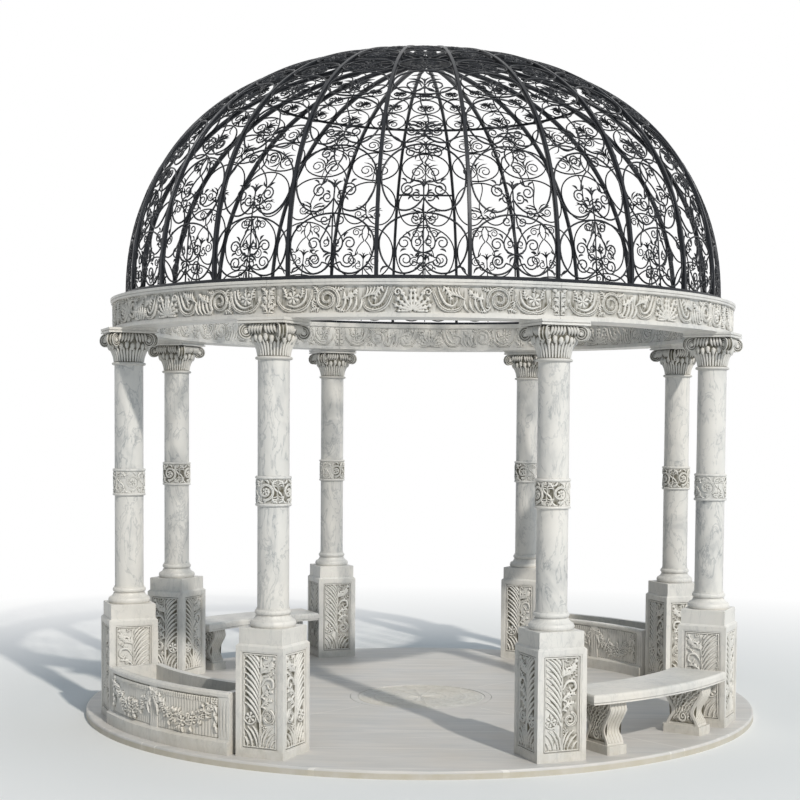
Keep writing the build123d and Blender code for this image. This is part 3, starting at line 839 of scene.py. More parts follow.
    def solid(self, place, target, back=PLATE_BACK, frame=0.0):
        """Close the relief into a thin solid, laid by place(u, v, height), and thin it out."""
        rows, columns = self.raised.shape
        grid_u, grid_v = np.meshgrid(self.u, self.v)
        verts = [place(*spot) for spot in zip(grid_u.ravel(), grid_v.ravel(), self.raised.ravel())]
        behind = [place(u, v, -back) for v in (self.v[0], self.v[-1]) for u in self.u]
        foot = len(verts)
        head = foot + columns
        last = (rows - 1) * columns
        faces = []
        for row in range(rows - 1):
            for i in range(row * columns, row * columns + columns - 1):
                faces.append((i, i + 1, i + columns + 1, i + columns))
        for i in range(columns - 1):
            faces.append((foot + i + 1, foot + i, head + i, head + i + 1))
            faces.append((foot + i, foot + i + 1, i + 1, i))
            faces.append((last + i, last + i + 1, head + i + 1, head + i))
        faces.append((head, *range(last, -1, -columns), foot))
        right = range(columns - 1, rows * columns, columns)
        faces.append((foot + columns - 1, *right, head + columns - 1))
        mesh = bpy.data.meshes.new("plate")
        mesh.from_pydata(verts + behind, [], faces)
        mesh.validate()
        with_dirt_and_painted_light(mesh, list(self.dirt_shade_and_highlight(frame).ravel()) + [0.0] * len(behind))
        return thinned(mesh, target)


print("carving tools are ready")

# %% [markdown]
# ## The carved frieze
# The ring beam is carved between its lip and its lower bands. One half of a bay is drawn and
# mirrored: a leafy palmette in the middle, an S-shaped arm with a leaf in its bend, leaning
# leaves, a spiral ring, and a hook that cradles a flower beside the joint over the column.
# The same design runs round the inside, cut a little flatter.

# %% Carve the frieze, outside and inside
LIP_HEIGHT = 0.04
LIP_PROJECTION = 0.03
BANDS_HEIGHT = 0.03
INNER_BAND_PROJECTION = 0.012
FRIEZE_FOOT = low("ring_beam_1") + BANDS_HEIGHT
FRIEZE_HEAD = high("ring_beam_1") - LIP_HEIGHT
FRIEZE_RADIUS = float(beam_radii.max()) - LIP_PROJECTION
INNER_RADIUS = float(beam_radii.min()) + INNER_BAND_PROJECTION
EDGE_SPACE = 0.003
DRAWN_HALF = 1.05
FRIEZE_CELL = 0.004
# Which face, its radius, the way out of it, the height of its relief and its triangles
FACES_OF_BEAM = (
    ("frieze", FRIEZE_RADIUS, 1, 0.018, 19000),
    ("inner_frieze", INNER_RADIUS, -1, 0.011, 9500),
)
BAYS_OF_BEAM = (("open", OPEN_HALF, AT_OPEN_BAYS), ("closed", CLOSED_HALF, AT_CLOSED_BAYS))
FRIEZE_TALL = FRIEZE_HEAD - FRIEZE_FOOT - 2 * EDGE_SPACE


def cradle(relief, outer, inner):
    """Two stems side by side that bend round a flower or a leaf."""
    relief.channelled(smooth_path(outer), (0.006, 0.0125, 0.0135, 0.012, 0.006), 0.0032, 0.55)
    relief.stroke(smooth_path(inner), (0.005, 0.0095, 0.0095, 0.004), 0.9)


def frieze_design(relief):
    """Half a bay, drawn for a half length of 1.05 m, and its mirror image."""

    def at(spots):
        return np.array(spots) * (relief.u[-1] / DRAWN_HALF, FRIEZE_TALL)

    foot = at((0.0, -0.36))
    for angle, reach in ((90, 0.82), (64, 0.8), (40, 0.76), (17, 0.72), (-6, 0.58)):
        reach *= FRIEZE_TALL
        tip = (reach * cos(radians(angle)) * 1.1, foot[1] + reach * sin(radians(angle)))
        relief.leaf(foot, tip, 0.036, bow=-0.1)
    relief.stroke(wound(at((0.105, 0.24)), 0.028, 0.007, 200, -420), (0.0085, 0.006))
    arm = [(0.128, 0.45), (0.152, 0.1), (0.19, -0.28)]
    arm += [(0.255, -0.44), (0.325, -0.34), (0.348, -0.04)]
    beside = ((0.172, 0.44), (0.197, 0.08), (0.232, -0.19), (0.28, -0.24), (0.306, -0.06))
    cradle(relief, at(arm), at(beside))
    relief.leaf(*at(((0.214, 0.44), (0.262, -0.1))), 0.042)
    above = [((0.352 - 0.016 * k, 0.02 + 0.04 * k), (0.32 - 0.026 * k, 0.47)) for k in range(4)]
    relief.blades(at(above), 0.22, (0.004, 0.0085, 0.003), 0.9)
    starts = [0.388 + 0.04 * k for k in range(4)]
    below = [((u, -0.46), (u - 0.03, 0.02 + 0.07 * k)) for k, u in enumerate(starts)]
    relief.blades(at(below), 0.16, (0.004, 0.0105, 0.003))
    relief.leaf(*at(((0.486, 0.02), (0.382, 0.4))), 0.044, lobes=5)
    ring = wound(at((0.605, 0.0)), 0.09, 0.018, 215, -700, 48)
    relief.channelled(ring, (0.012, 0.0115, 0.008), (0.0032, 0.0028))
    about_ring = (
        ((0.55, 0.34), (0.48, 0.46)),
        ((0.67, 0.2), (0.712, 0.49)),
        ((0.536, -0.3), (0.47, -0.44)),
        ((0.664, -0.34), (0.724, -0.48)),
        ((0.7, 0.0), (0.7, -0.32)),
    )
    relief.leaves(at(about_ring), 0.034, 0.95, bow=0.14)
    hook = [(0.716, 0.34), (0.726, 0.0), (0.76, -0.3), (0.832, -0.45)]
    hook += [(0.915, -0.38), (0.968, -0.12), (0.976, 0.12)]
    in_hook = ((0.754, 0.36), (0.764, 0.02), (0.798, -0.2), (0.846, -0.28), (0.902, -0.2))
    cradle(relief, at(hook), at(in_hook))
    relief.rosette(at((0.858, 0.05)), 0.046, petals=7)
    over_flower = (
        ((0.8, 0.04), (0.788, 0.46)),
        ((0.908, 0.08), (0.944, 0.46)),
        ((0.858, 0.28), (0.864, 0.49)),
    )
    relief.leaves(at(over_flower), 0.03, 0.95)
    relief.leaf(*at(((1.046, -0.48), (0.982, -0.2))), 0.04, 0.95, lobes=5, bow=-0.2)
    by_joint = (((1.046, -0.3), (0.996, 0.12)), ((1.046, 0.02), (0.986, 0.46)))
    relief.leaves(at(by_joint), 0.042, 0.95, lobes=5, bow=-0.2)
    relief.mirror()


def frieze_mesh(half_angle, radius, outward, top, target):
    """One bay of the frieze, centred on +X, on the outer or the inner face of the beam."""
    relief = Relief(2 * (half_angle * radius - EDGE_SPACE), FRIEZE_TALL, FRIEZE_CELL, top)
    frieze_design(relief)
    relief.sink_edges()
    return relief.solid(on_drum(radius, (FRIEZE_FOOT + FRIEZE_HEAD) / 2, outward), target)


for label, half_angle, bays in BAYS_OF_BEAM:
    for face, *form in FACES_OF_BEAM:
        repeated(f"{face}_{label}_bays", frieze_mesh(half_angle, *form), bays)

# %% [markdown]
# ## Pedestal panels
# Each pedestal has a framed, sunk panel on all four faces. A stem grows up the middle. On
# one side long blades rise from it like a feather over a flower; leaves, curls and a spiral
# fill the other side. A bead runs round the edge. Neighbouring faces mirror the design.

# %% Carve the pedestal panels
PANEL_WIDTH = 0.279
PANEL_FOOT = low("pedestals") + 0.068
PANEL_HEAD = low("pedestals") + 0.746
PANEL_GROUND = 0.1765
PANEL_TOP = 0.016
FACES = 4
PANEL_CELL = 0.0045
PANEL_TRIANGLES = 5800
BLADE = (0.004, 0.0105, 0.004)


def vine(relief):
    """The panel's design: a feathered side, a leafy side, a stem and a bead round them."""
    for step in range(11):
        root_v = -0.15 + 0.043 * step
        reach = min(1.0, (0.322 - root_v) / 0.132)
        tip = (-0.006 - 0.112 * reach, root_v + 0.132 * reach)
        relief.stroke(bent((-0.006, root_v), tip, -0.1), (0.0055, 0.0105, 0.0115, 0.004))
        relief.stroke([tip, (tip[0] - 0.003, tip[1] - 0.006)], (0.006, 0.003), 0.9)
    flower = (-0.08, -0.12)
    relief.rosette(flower, 0.04, turn=0.3)
    relief.stroke(wound(flower, 0.05, 0.046, 170, 200), (0.004, 0.0075, 0.004), 0.85)
    left_foot = (
        ((-0.008, -0.3), (-0.06, -0.182)),
        ((-0.024, -0.322), (-0.098, -0.19)),
        ((-0.062, -0.324), (-0.122, -0.208)),
        ((-0.1, -0.324), (-0.124, -0.262)),
    )
    relief.blades(left_foot, -0.12, BLADE)
    relief.leaf((0.014, 0.205), (0.108, 0.318), 0.062, lobes=6, bow=-0.18)
    relief.stroke(wound((0.062, 0.232), 0.03, 0.007, 190, -430), (0.0095, 0.007))
    relief.leaf((0.06, 0.3), (0.02, 0.322), 0.026, 0.9, lobes=3)
    curl = [(0.012, 0.108), (0.046, 0.158), (0.096, 0.158)]
    curl += [(0.11, 0.112), (0.078, 0.092), (0.062, 0.118)]
    relief.stroke(smooth_path(curl), (0.006, 0.012, 0.0105, 0.007))
    relief.leaf((0.07, 0.165), (0.122, 0.205), 0.03, 0.95, lobes=3)
    relief.leaf((0.01, 0.03), (0.12, 0.062), 0.046, lobes=5, bow=0.2)
    relief.leaf((0.012, -0.04), (0.114, 0.0), 0.044, lobes=5, bow=0.2)
    coil = wound((0.068, -0.112), 0.05, 0.011, 70, -520)
    relief.channelled(coil, (0.0135, 0.012, 0.008), (0.0034, 0.003))
    relief.rosette((0.03, -0.185), 0.02, petals=5)
    right_foot = (
        ((0.012, -0.312), (0.052, -0.196)),
        ((0.024, -0.324), (0.096, -0.19)),
        ((0.05, -0.324), (0.122, -0.222)),
        ((0.086, -0.324), (0.124, -0.27)),
    )
    relief.blades(right_foot, 0.12, BLADE)
    stem = ((0.002, -0.32), (0.004, -0.18), (-0.004, -0.02), (0.003, 0.15), (0.01, 0.315))
    relief.channelled(smooth_path(stem), (0.0115, 0.009, 0.006), (0.0032, 0.0022))
    across, up = relief.u[-1] - 0.0085, relief.v[-1] - 0.0085
    corners = [(-across, -up), (across, -up), (across, up), (-across, up), (-across, -up)]
    for start, end in zip(corners, corners[1:]):
        relief.stroke([start, end], 0.0056, 0.75)


def panel_mesh(mirror):
    """One carved panel on the +X side of a pedestal that stands at the origin."""
    relief = Relief(PANEL_WIDTH, PANEL_HEAD - PANEL_FOOT, PANEL_CELL, PANEL_TOP)
    vine(relief)
    relief.sink_edges()
    middle = (PANEL_HEAD + PANEL_FOOT) / 2

    def place(u, v, height):
        return (PANEL_GROUND + height, mirror * u, middle + v)

    return relief.solid(place, PANEL_TRIANGLES, frame=1.0)


TO_COLUMN = Matrix.Translation((RING, 0, 0))
turned_faces = [Matrix.Rotation(face * QUARTER, 4, "Z") for face in range(FACES)]
panels = [panel_mesh(mirror) for mirror in (1, -1)]
pedestal_faces = [
    moved(panels[face % 2], TO_COLUMN @ turned) for face, turned in enumerate(turned_faces)
]
repeated("pedestal_carving", joined(pedestal_faces), AT_COLUMNS)

# %% [markdown]
# ## Bands round the columns
# Halfway up each column a carved drum sits between two beads. A quarter of it is a small
# scroll with leaves in its corners, and four quarters close the ring.

# %% Carve the column bands
BEAD = 0.02
DRUM_RADIUS = 0.119
BAND_TOP = 0.01
band_foot = low("carved_bands") + BEAD
band_head = high("carved_bands") - BEAD
BAND_CELL = 0.0036
BAND_TRIANGLES = 1800
BAND_MARGIN = 0.003


def band_mesh():
    """A quarter of the band, on the +X side of a column."""
    relief = Relief(DRUM_RADIUS * QUARTER, band_head - band_foot - EDGE_SPACE, BAND_CELL, BAND_TOP)
    centre = (0.004, 0.0)
    coil = wound(centre, 0.062, 0.014, -100, 600)
    relief.channelled(coil, (0.01, 0.0095, 0.006), 0.003, 0.45)
    relief.rosette(centre, 0.026, petals=5)
    for side in (-1, 1):
        for rise in (-1, 1):
            corner = (side * 0.09, rise * 0.078)
            relief.leaf((side * 0.05, rise * 0.036), corner, 0.042, bow=0.15 * side * rise)
            start = (side * 0.01 - 0.012, rise * 0.082)
            end = (start[0] + side * 0.03, rise * 0.058)
            relief.stroke(bent(start, end, 0.2), (0.004, 0.0085, 0.003), 0.9)
            beside = bent((side * 0.092, 0.0), (side * 0.066, rise * 0.072), 0.2)
            relief.stroke(beside, (0.008, 0.003), 0.9)
    relief.sink_edges(BAND_MARGIN)
    drum = on_drum(DRUM_RADIUS, (band_head + band_foot) / 2, x=RING)
    return relief.solid(drum, BAND_TRIANGLES, THIN_BACK)


band_quarter = band_mesh()
about_column = [TO_COLUMN @ turned @ Matrix.Translation((-RING, 0, 0)) for turned in turned_faces]
band = joined([moved(band_quarter, turned) for turned in about_column])
repeated("band_carving", band, AT_COLUMNS)

# %% [markdown]
# ## Capitals
# A capital is carved in the round, so a height on a grid would not do. It is built from
# skins instead: a skin joins a row of rings. The bell is a turned profile, reeds with
# rounded tops stand round it and large eggs sit in the collar above. Under the plate a row of
# slanting leaves runs from corner to corner, where a grooved ribbon winds into a volute.

# %% Skin rings into shapes


class Shape:
    """Points and faces of a piece carved in the round, with a level of dirt and painted shade for
    each point.
    """

    def __init__(self):
        self.verts, self.faces, self.dirt_and_painted_light_values = [], [], []

    def skin(self, rings, dirt_and_painted_light):
        """Join rings one after another and close both ends; the level of dirt and painted shade is
        a number, or one per point.
        """
        start = len(self.verts)
        size = len(rings[0])
        for ring in rings:
            self.verts += [tuple(point) for point in ring]
            self.dirt_and_painted_light_values += list(np.broadcast_to(dirt_and_painted_light, size))
        for row in range(len(rings) - 1):
            for i in range(size):
                a = start + row * size + i
                b = start + row * size + (i + 1) % size
                self.faces.append((a, b, b + size, a + size))
        self.faces.append(tuple(range(start, start + size))[::-1])
        self.faces.append(tuple(range(start + size * (len(rings) - 1), start + size * len(rings))))

    def turned(self, profile, segments, dirt_and_painted_light):
        """A solid of revolution about the upright axis."""
        angles = [2 * pi * k / segments for k in range(segments)]
        self.skin([[polar(r, angle, z) for angle in angles] for r, z in profile], dirt_and_painted_light)

    def rod(self, points, radii, sides, dirt_and_painted_light):
        """A rod along a path whose radii are spread evenly over its points."""
        path = [Vector(p) for p in points]
        widths = spread(radii, len(path))
        rings = []
        side = Vector((0.31, 0.57, 0.76))
        for i, (point, width) in enumerate(zip(path, widths)):
            ahead = (path[min(i + 1, len(path) - 1)] - path[max(i - 1, 0)]).normalized()
            side = (side - ahead * side.dot(ahead)).normalized()
            other = ahead.cross(side)
            angles = [2 * pi * k / sides for k in range(sides)]
            rings.append([point + (side * cos(a) + other * sin(a)) * width for a in angles])
        self.skin(rings, dirt_and_painted_light)

    def mesh(self, name, matrix=Matrix()):
        made = bpy.data.meshes.new(name)
        made.from_pydata(self.verts, [], self.faces)
        with_dirt_and_painted_light(made, self.dirt_and_painted_light_values)
        facing_outward(made)
        made.transform(matrix)
        return made


def upright(angle):
    """The way out at an angle, the way along the face there, and the way up."""
    out = Vector(polar(1, angle, 0))
    return out, Vector((-out.y, out.x, 0)), Vector((0, 0, 1))


print("rings can be skinned")

# %% Carve the capital
CAPITAL_FOOT = low("capitals")
CAPITAL_HEAD = high("capitals")
ASTRAGAL = 0.024
ASTRAGAL_RADIUS = 0.118
ASTRAGAL_SWELL = 0.016
HIDDEN_RADIUS = 0.02
BELL_RADIUS = 0.114
BELL_FLARE = 0.034
BELL_FOOT = CAPITAL_FOOT + ASTRAGAL
BELL_HEAD = BELL_FOOT + 0.112
TURNED_SIDES = 40
VOLUTE_RADIUS = 0.057
VOLUTE_SPREAD = 0.207
VOLUTE_WIDTH = 0.058
VOLUTE_LEVEL = CAPITAL_HEAD - 0.001 - VOLUTE_RADIUS
VOLUTE_SWEEP = 15.5
VOLUTE_STEPS = 45
REEDS = 34
REED_GIRTHS = (0.0055, 0.0072, 0.0082, 0.0094, 0.0098, 0.005)
EGGS = 22
EGG_RING = 0.152
SLANTED = 9
SLANT_GIRTHS = (0.0065, 0.0095, 0.011, 0.0085, 0.003)
# Places along the axis of a volute's eye, and its radius there
EYE = ((0.02, 0.015), (0.031, 0.014), (0.034, 0.008))
# The ribbon's section: place across it, height over it and how open it lies, which sets its dirt
# and painted shade
RIBBON = (
    (-1.0, 0.0065, 1.0),
    (-0.78, 0.0065, 1.0),
    (-0.62, 0.0, 0.25),
    (-0.2, 0.0, 0.25),
    (0.0, 0.0055, 1.0),
    (0.2, 0.0, 0.25),
    (0.62, 0.0, 0.25),
    (0.78, 0.0065, 1.0),
    (1.0, 0.0065, 1.0),
    (1.0, -0.003, 0.4),
    (-1.0, -0.003, 0.4),
)


def bell_radius(z):
    return BELL_RADIUS + BELL_FLARE * max((z - BELL_FOOT) / (BELL_HEAD - BELL_FOOT), 0.0) ** 2.2


def egg(shape, centre, radius, tall, dirt_and_painted_light):
    """A drop, wide above and narrow below: stacked rings of eight points."""
    rings = []
    eighths = [k * pi / 4 for k in range(8)]
    for turn in np.linspace(0.3, pi - 0.2, 6):
        r, z = radius * sin(turn) * (1 + 0.3 * cos(turn)), centre[2] + tall * cos(turn)
        rings.append([(centre[0] + r * cos(a), centre[1] + r * sin(a), z) for a in eighths])
    shape.skin(rings, dirt_and_painted_light)


def volute(shape, angle):
    """A ribbon with two channels that leaves the collar and winds into an eye."""
    out, wide, up = upright(angle)
    top = VOLUTE_LEVEL + VOLUTE_RADIUS
    path = [(0.118, top - 0.006), (0.165, top - 0.007)]
    for share in np.linspace(0, 1, VOLUTE_STEPS + 1):
        r = (VOLUTE_RADIUS - 0.006) * (1 - share) + 0.012 * share
        turn = radians(90) - VOLUTE_SWEEP * share
        path.append((VOLUTE_SPREAD + r * cos(turn), VOLUTE_LEVEL + r * sin(turn)))
    rings = []
    for i, (d, z) in enumerate(path):
        d0, z0 = path[max(i - 1, 0)]
        d1, z1 = path[min(i + 1, len(path) - 1)]
        length = hypot(d1 - d0, z1 - z0)
        ahead, rise = (d1 - d0) / length, (z1 - z0) / length
        half_width = VOLUTE_WIDTH / 2 * (1 + 0.1 * i / len(path))
        rings.append([
            out * (d - rise * lift) + wide * (half_width * across) + up * (z + ahead * lift)
            for across, lift, dirt_and_painted_light in RIBBON
        ])
    shape.skin(rings, [dirt_and_painted_light for across, lift, dirt_and_painted_light in RIBBON])

    def wheel(rows, points, dirt_and_painted_light):
        """A turned piece on the volute's own axis, from places along it and radii."""
        hub = out * VOLUTE_SPREAD + up * VOLUTE_LEVEL
        turns = np.linspace(0, 2 * pi, points, endpoint=False)
        spokes = [out * cos(turn) + up * sin(turn) for turn in turns]
        rings = [[hub + spoke * r + wide * along for spoke in spokes] for along, r in rows]
        shape.skin(rings, dirt_and_painted_light)

    # The disc inside the volute is painted dark with dirt and painted shade.
    wheel(((-0.022, 0.046), (0.022, 0.046)), 18, 0.2)
    for side in (-1, 1):
        wheel([(side * along, r) for along, r in EYE], 12, 1.0)


def capital_mesh():
    shape = Shape()
    half = ASTRAGAL / 2
    rounding = [
        (ASTRAGAL_RADIUS + ASTRAGAL_SWELL * sin(a), CAPITAL_FOOT + half - half * cos(a))
        for a in np.linspace(0, pi, 7)
    ]
    ends = [(HIDDEN_RADIUS, CAPITAL_FOOT)], [(HIDDEN_RADIUS, BELL_FOOT)]
    # The last number of each part sets its dirt and painted shade: the bell and collar behind the
    # reeds and eggs are painted darkest.
    shape.turned(ends[0] + rounding + ends[1], TURNED_SIDES, 0.9)
    bell = [(bell_radius(z) - 0.003, z) for z in np.linspace(BELL_FOOT, BELL_HEAD, 7)]
    collar = [(0.15, BELL_HEAD + 0.002), (0.158, BELL_HEAD + 0.03), (0.16, CAPITAL_HEAD)]
    shape.turned(ends[1] + bell + collar + [(HIDDEN_RADIUS, CAPITAL_HEAD)], TURNED_SIDES, 0.3)
    for reed in range(REEDS):
        angle = 2 * pi * reed / REEDS
        zs = np.linspace(BELL_FOOT + 0.004, BELL_FOOT + (0.1 if reed % 2 else 0.112), 6)
        outs = [bell_radius(z) + (0.006 if z == zs[-1] else 0.0) for z in zs]
        shape.rod([polar(r, angle, z) for r, z in zip(outs, zs)], REED_GIRTHS, 6, 1.0)
    for place in range(EGGS):
        angle = 2 * pi * (place + 0.5) / EGGS
        centre = polar(EGG_RING, angle, BELL_HEAD + 0.02 - 0.012 * (place % 2))
        egg(shape, centre, 0.017, 0.029, 0.95)
    for side in range(4):
        out, wide, up = upright(side * QUARTER)
        for across in np.linspace(-0.094, 0.094, SLANTED):
            lean = 0.014 if across > 0 else -0.014
            spots = []
            for share in np.linspace(0, 1, 5):
                reach = 0.158 + 0.016 * sin(pi * share) - 0.1 * abs(across) * share
                rise = CAPITAL_HEAD - 0.008 - 0.062 * share
                spots.append(out * reach + wide * (across + lean * share) + up * rise)
            shape.rod(spots, SLANT_GIRTHS, 7, 0.9)
    for corner in range(4):
        volute(shape, QUARTER / 2 + corner * QUARTER)
    return shape.mesh("capital", TO_COLUMN)


repeated("carved_capitals", capital_mesh(), AT_COLUMNS, replaced=("capitals",))

# %% [markdown]
# ## Planter walls
# Between its plain rim and its ledged foot, a planter's curved wall is covered with upright
# reeds. Two heavy garlands of leaves and flowers hang over them and meet in a knot on the
# middle pilaster. The inner wall, towards the floor, is the same but flatter. The pilasters
# carry three upright fillets.

# %% Carve the planters
planter_radii, planter_angles = plan("planter_front_left")
RIM_PROJECTION = 0.036
PLANTER_OUTER = float(planter_radii.max()) - RIM_PROJECTION
PLANTER_INNER = float(planter_radii.min()) + RIM_PROJECTION
PLANTER_HALF = float(planter_angles.max() - planter_angles.min()) / 2
PILASTER = 0.096
PILASTER_PROJECTION = 0.009
WALL_FOOT = floor_level + 0.11
WALL_HEAD = low("planter_front_left") + 0.403
draws = np.random.default_rng(7)
SWAG_HALF = 20
SWAG_STEPS = 2 * SWAG_HALF
SWAG_LEAVES = 190
WALL_CELL = 0.005
# The radius of each wall, the way out of it, its triangles and the height of its relief
WALLS = ((PLANTER_OUTER, 1, 26000, 0.031), (PLANTER_INNER, -1, 14000, 0.018))


def swag(relief, side, inner, outer, tall):
    """A heavy garland that hangs between two points of the wall and swells at its bottom."""
    middle, half = (inner + outer) / 2, (outer - inner) / 2
    sag = [
        (side * (middle + half * x), -0.2 * tall + 0.55 * tall * x * x)
        for x in np.linspace(-1, 1, SWAG_STEPS + 1)
    ]
    nearness = [1 - abs(k - SWAG_HALF) / SWAG_HALF for k in range(SWAG_STEPS + 1)]
    thick = [0.026 + 0.046 * near**0.8 for near in nearness]
    relief.stroke(sag, thick, 0.4)
    for _ in range(SWAG_LEAVES):
        at = int(draws.uniform(0, SWAG_STEPS))
        (u, v), wide = sag[at], thick[at]
        angle = draws.uniform(0, 2 * pi)
        long = draws.uniform(0.024, 0.046)
        root = (u + draws.uniform(-0.006, 0.006), v + draws.uniform(-0.8, 0.8) * wide)
        tip = (root[0] + long * cos(angle), root[1] + long * sin(angle))
        leaf = bent(root, tip, draws.uniform(-0.3, 0.3), 5)
        relief.stroke(leaf, (0.004, 0.0092, 0.003), draws.uniform(0.66, 0.95))
    for at, size in ((20, 0.04), (13, 0.032), (27, 0.032), (7, 0.024), (33, 0.024)):
        u, v = sag[at]
        relief.groove([(u, v), (u + 0.001, v)], size * 1.15, 0.6)
        relief.rosette((u, v), size, turn=0.2 * at)
    for step in range(5):
        root = (side * outer, 0.3 * tall - 0.036 * step)
        tip = (root[0] + side * 0.018 * (-1) ** step, root[1] - 0.05)
        relief.stroke(bent(root, tip, 0.2), (0.005, 0.0105, 0.003), 0.9)
    relief.rosette((side * outer, 0.36 * tall), 0.022)


def wall_mesh(radius, outward, target, top):
    """A planter's wall between its end pilasters: reeds, two garlands and the knot between them."""
    half = radius * PLANTER_HALF - PILASTER - 0.004
    relief = Relief(2 * half, WALL_HEAD - WALL_FOOT, WALL_CELL, top)
    tall = relief.v[-1] - relief.v[0]
    for u in np.arange(-half + 0.014, half - 0.01, 0.03):
        if abs(u) > PILASTER / 2 + 0.008:
            relief.stroke([(u, -0.47 * tall), (u, 0.47 * tall)], (0.011, 0.0125, 0.011), 0.16)
    for u in np.arange(-half + 0.012, half - 0.01, 0.024):
        relief.stroke([(u, 0.36 * tall), (u + 0.004, 0.475 * tall)], (0.004, 0.0085), 0.48)
    for side in (-1, 1):
        swag(relief, side, 0.02, half - 0.03, tall)
    relief.rosette((0.0, 0.34 * tall), 0.034, petals=7)
    for side in (-1, 1):
        knot = (side * 0.01, 0.26 * tall)
        for reach in (0.16, 0.27):
            tip = (side * 0.2 * reach, 0.26 * tall - reach * 0.5)
            relief.stroke(bent(knot, tip, side * 0.2), (0.006, 0.011, 0.003))
    relief.sink_edges()
    return relief.solid(on_drum(radius, (WALL_HEAD + WALL_FOOT) / 2, outward), target, frame=0.8)


def pilaster_mesh(radius, outward, middle):
    """Three upright fillets on a pilaster."""
    r = radius + outward * PILASTER_PROJECTION - outward * 0.003
    zs = np.linspace(WALL_FOOT + 0.014, WALL_HEAD - 0.014, 4)
    shape = Shape()
    for step in (-1, 0, 1):
        angle = middle + step * 0.028 / radius
        shape.rod([polar(r, angle, z) for z in zs], (0.004, 0.0095, 0.0095, 0.004), 8, 0.8)
    return shape.mesh("fillets")


planter_parts = []
for radius, outward, target, top in WALLS:
    planter_parts.append(wall_mesh(radius, outward, target, top))
    end = PLANTER_HALF - 0.5 * PILASTER / radius
    planter_parts += [pilaster_mesh(radius, outward, middle) for middle in (-end, 0.0, end)]
repeated("planter_carving", joined(planter_parts), AT_PLANTERS)

# %% [markdown]
# ## Bench legs
# Each leg swells and narrows like an S. Reeds run down its two curved faces, and its sunk
# sides are cut all over with short slanting leaves over a small spiral at the foot. The
# outline of a leg is read from the frame, so the reeds follow it exactly.

# %% Carve the bench legs
LEG_ARC = 0.5
LEG_SIDE = 0.066
LEG_RIBBON = 0.024
leg_turns = [side * LEG_ARC / RING for side in (-1, 1)]


def leg_outline():
    """Levels up one leg and half its radial size at each, from the frame's mesh."""
    leg = nodes["bench_legs_front_right"].data
    back = Matrix.Rotation(QUARTER / 2 - leg_turns[0], 4, "Z")
    rows = {}
    for vert in leg.vertices:
        spot = back @ vert.co
        if abs(spot.y) < 0.08 and spot.z > floor_level + 0.067:
            level = round(spot.z, 4)
            rows[level] = max(rows.get(level, 0.0), abs(spot.x - RING))
    levels = sorted(rows)
    return levels, [rows[level] for level in levels]


leg_levels, leg_halves = leg_outline()
LEG_FOOT, LEG_HEAD = leg_levels[0], leg_levels[-1]


def half_depth(z):
    return float(np.interp(z, leg_levels, leg_halves))


LEG_CELL = 0.0052
LEG_MARGIN = 0.005
LEG_TOP = 0.0078
LEG_TRIANGLES = 2600


def leg_side_relief():
    """Slanting leaves all over, and a spiral at the foot."""
    relief = Relief(0.2, LEG_HEAD - LEG_FOOT - 0.012, LEG_CELL, LEG_TOP)
    tall = relief.v[-1] - relief.v[0]
    leaf_share, spiral_share = 0.0075 / LEG_TOP, 0.008 / LEG_TOP
    for row in range(10):
        for column in range(6):
            u = -0.085 + 0.034 * column + 0.012 * (row % 2)
            v = -0.4 * tall + 0.088 * tall * row
            leaf = bent((u, v), (u + 0.022, v + 0.03), 0.25, 5)
            relief.stroke(leaf, (0.004, 0.0078, 0.002), leaf_share)
    eye = -0.33 * tall
    relief.groove([(-0.001, eye), (0.0, eye)], 0.05, leaf_share)
    relief.stroke(wound((0.0, eye), 0.046, 0.008, 90, 560), (0.01, 0.008, 0.006), spiral_share)
    relief.sink_edges(LEG_MARGIN)
    return relief


def leg_mesh(turn):
    """Reeds and carved sides of one leg, turned to its place on the bench's arc."""
    shape = Shape()
    levels = np.linspace(LEG_FOOT + 0.004, LEG_HEAD - 0.004, 15)
    for face in (-1, 1):
        for reed in range(-2, 3):
            spots = [(face * (half_depth(z) - 0.0035), reed * 0.0285, z) for z in levels]
            shape.rod(spots, (0.011, 0.0125, 0.0125, 0.011), 8, 0.9)
    parts = [shape.mesh("reeds")]
    relief = leg_side_relief()
    middle = (LEG_FOOT + LEG_HEAD) / 2
    for side in (-1, 1):

        def place(u, v, height):
            inside = half_depth(middle + v) - LEG_RIBBON - 0.001
            return (u / 0.1 * inside, side * (LEG_SIDE + height), middle + v)

        parts.append(relief.solid(place, LEG_TRIANGLES, THIN_BACK, frame=1.0))
    return moved(joined(parts), Matrix.Rotation(turn, 4, "Z") @ TO_COLUMN)


repeated("bench_leg_carving", joined([leg_mesh(turn) for turn in leg_turns]), AT_BENCHES)

# %% [markdown]
# ## The carved stone in the floor
# The round stone in the middle of the floor has a very low relief: rings, a many-petalled
# flower and a border of small scrolls. It is carved on a strip whose length is the angle and
# whose height is the radius, and the strip is bent round into a disc.

# %% Carve the centre stone
FIELD_INNER = 0.012
FIELD_OUTER = 0.548
FIELD_GROUND = high("floor_medallion") - 0.0042
FIELD_TOP = 0.004
STRIP_RADIUS = 0.4
FIELD_CELL = 0.0075
FIELD_TRIANGLES = 14000
FIELD_SCROLLS = 16


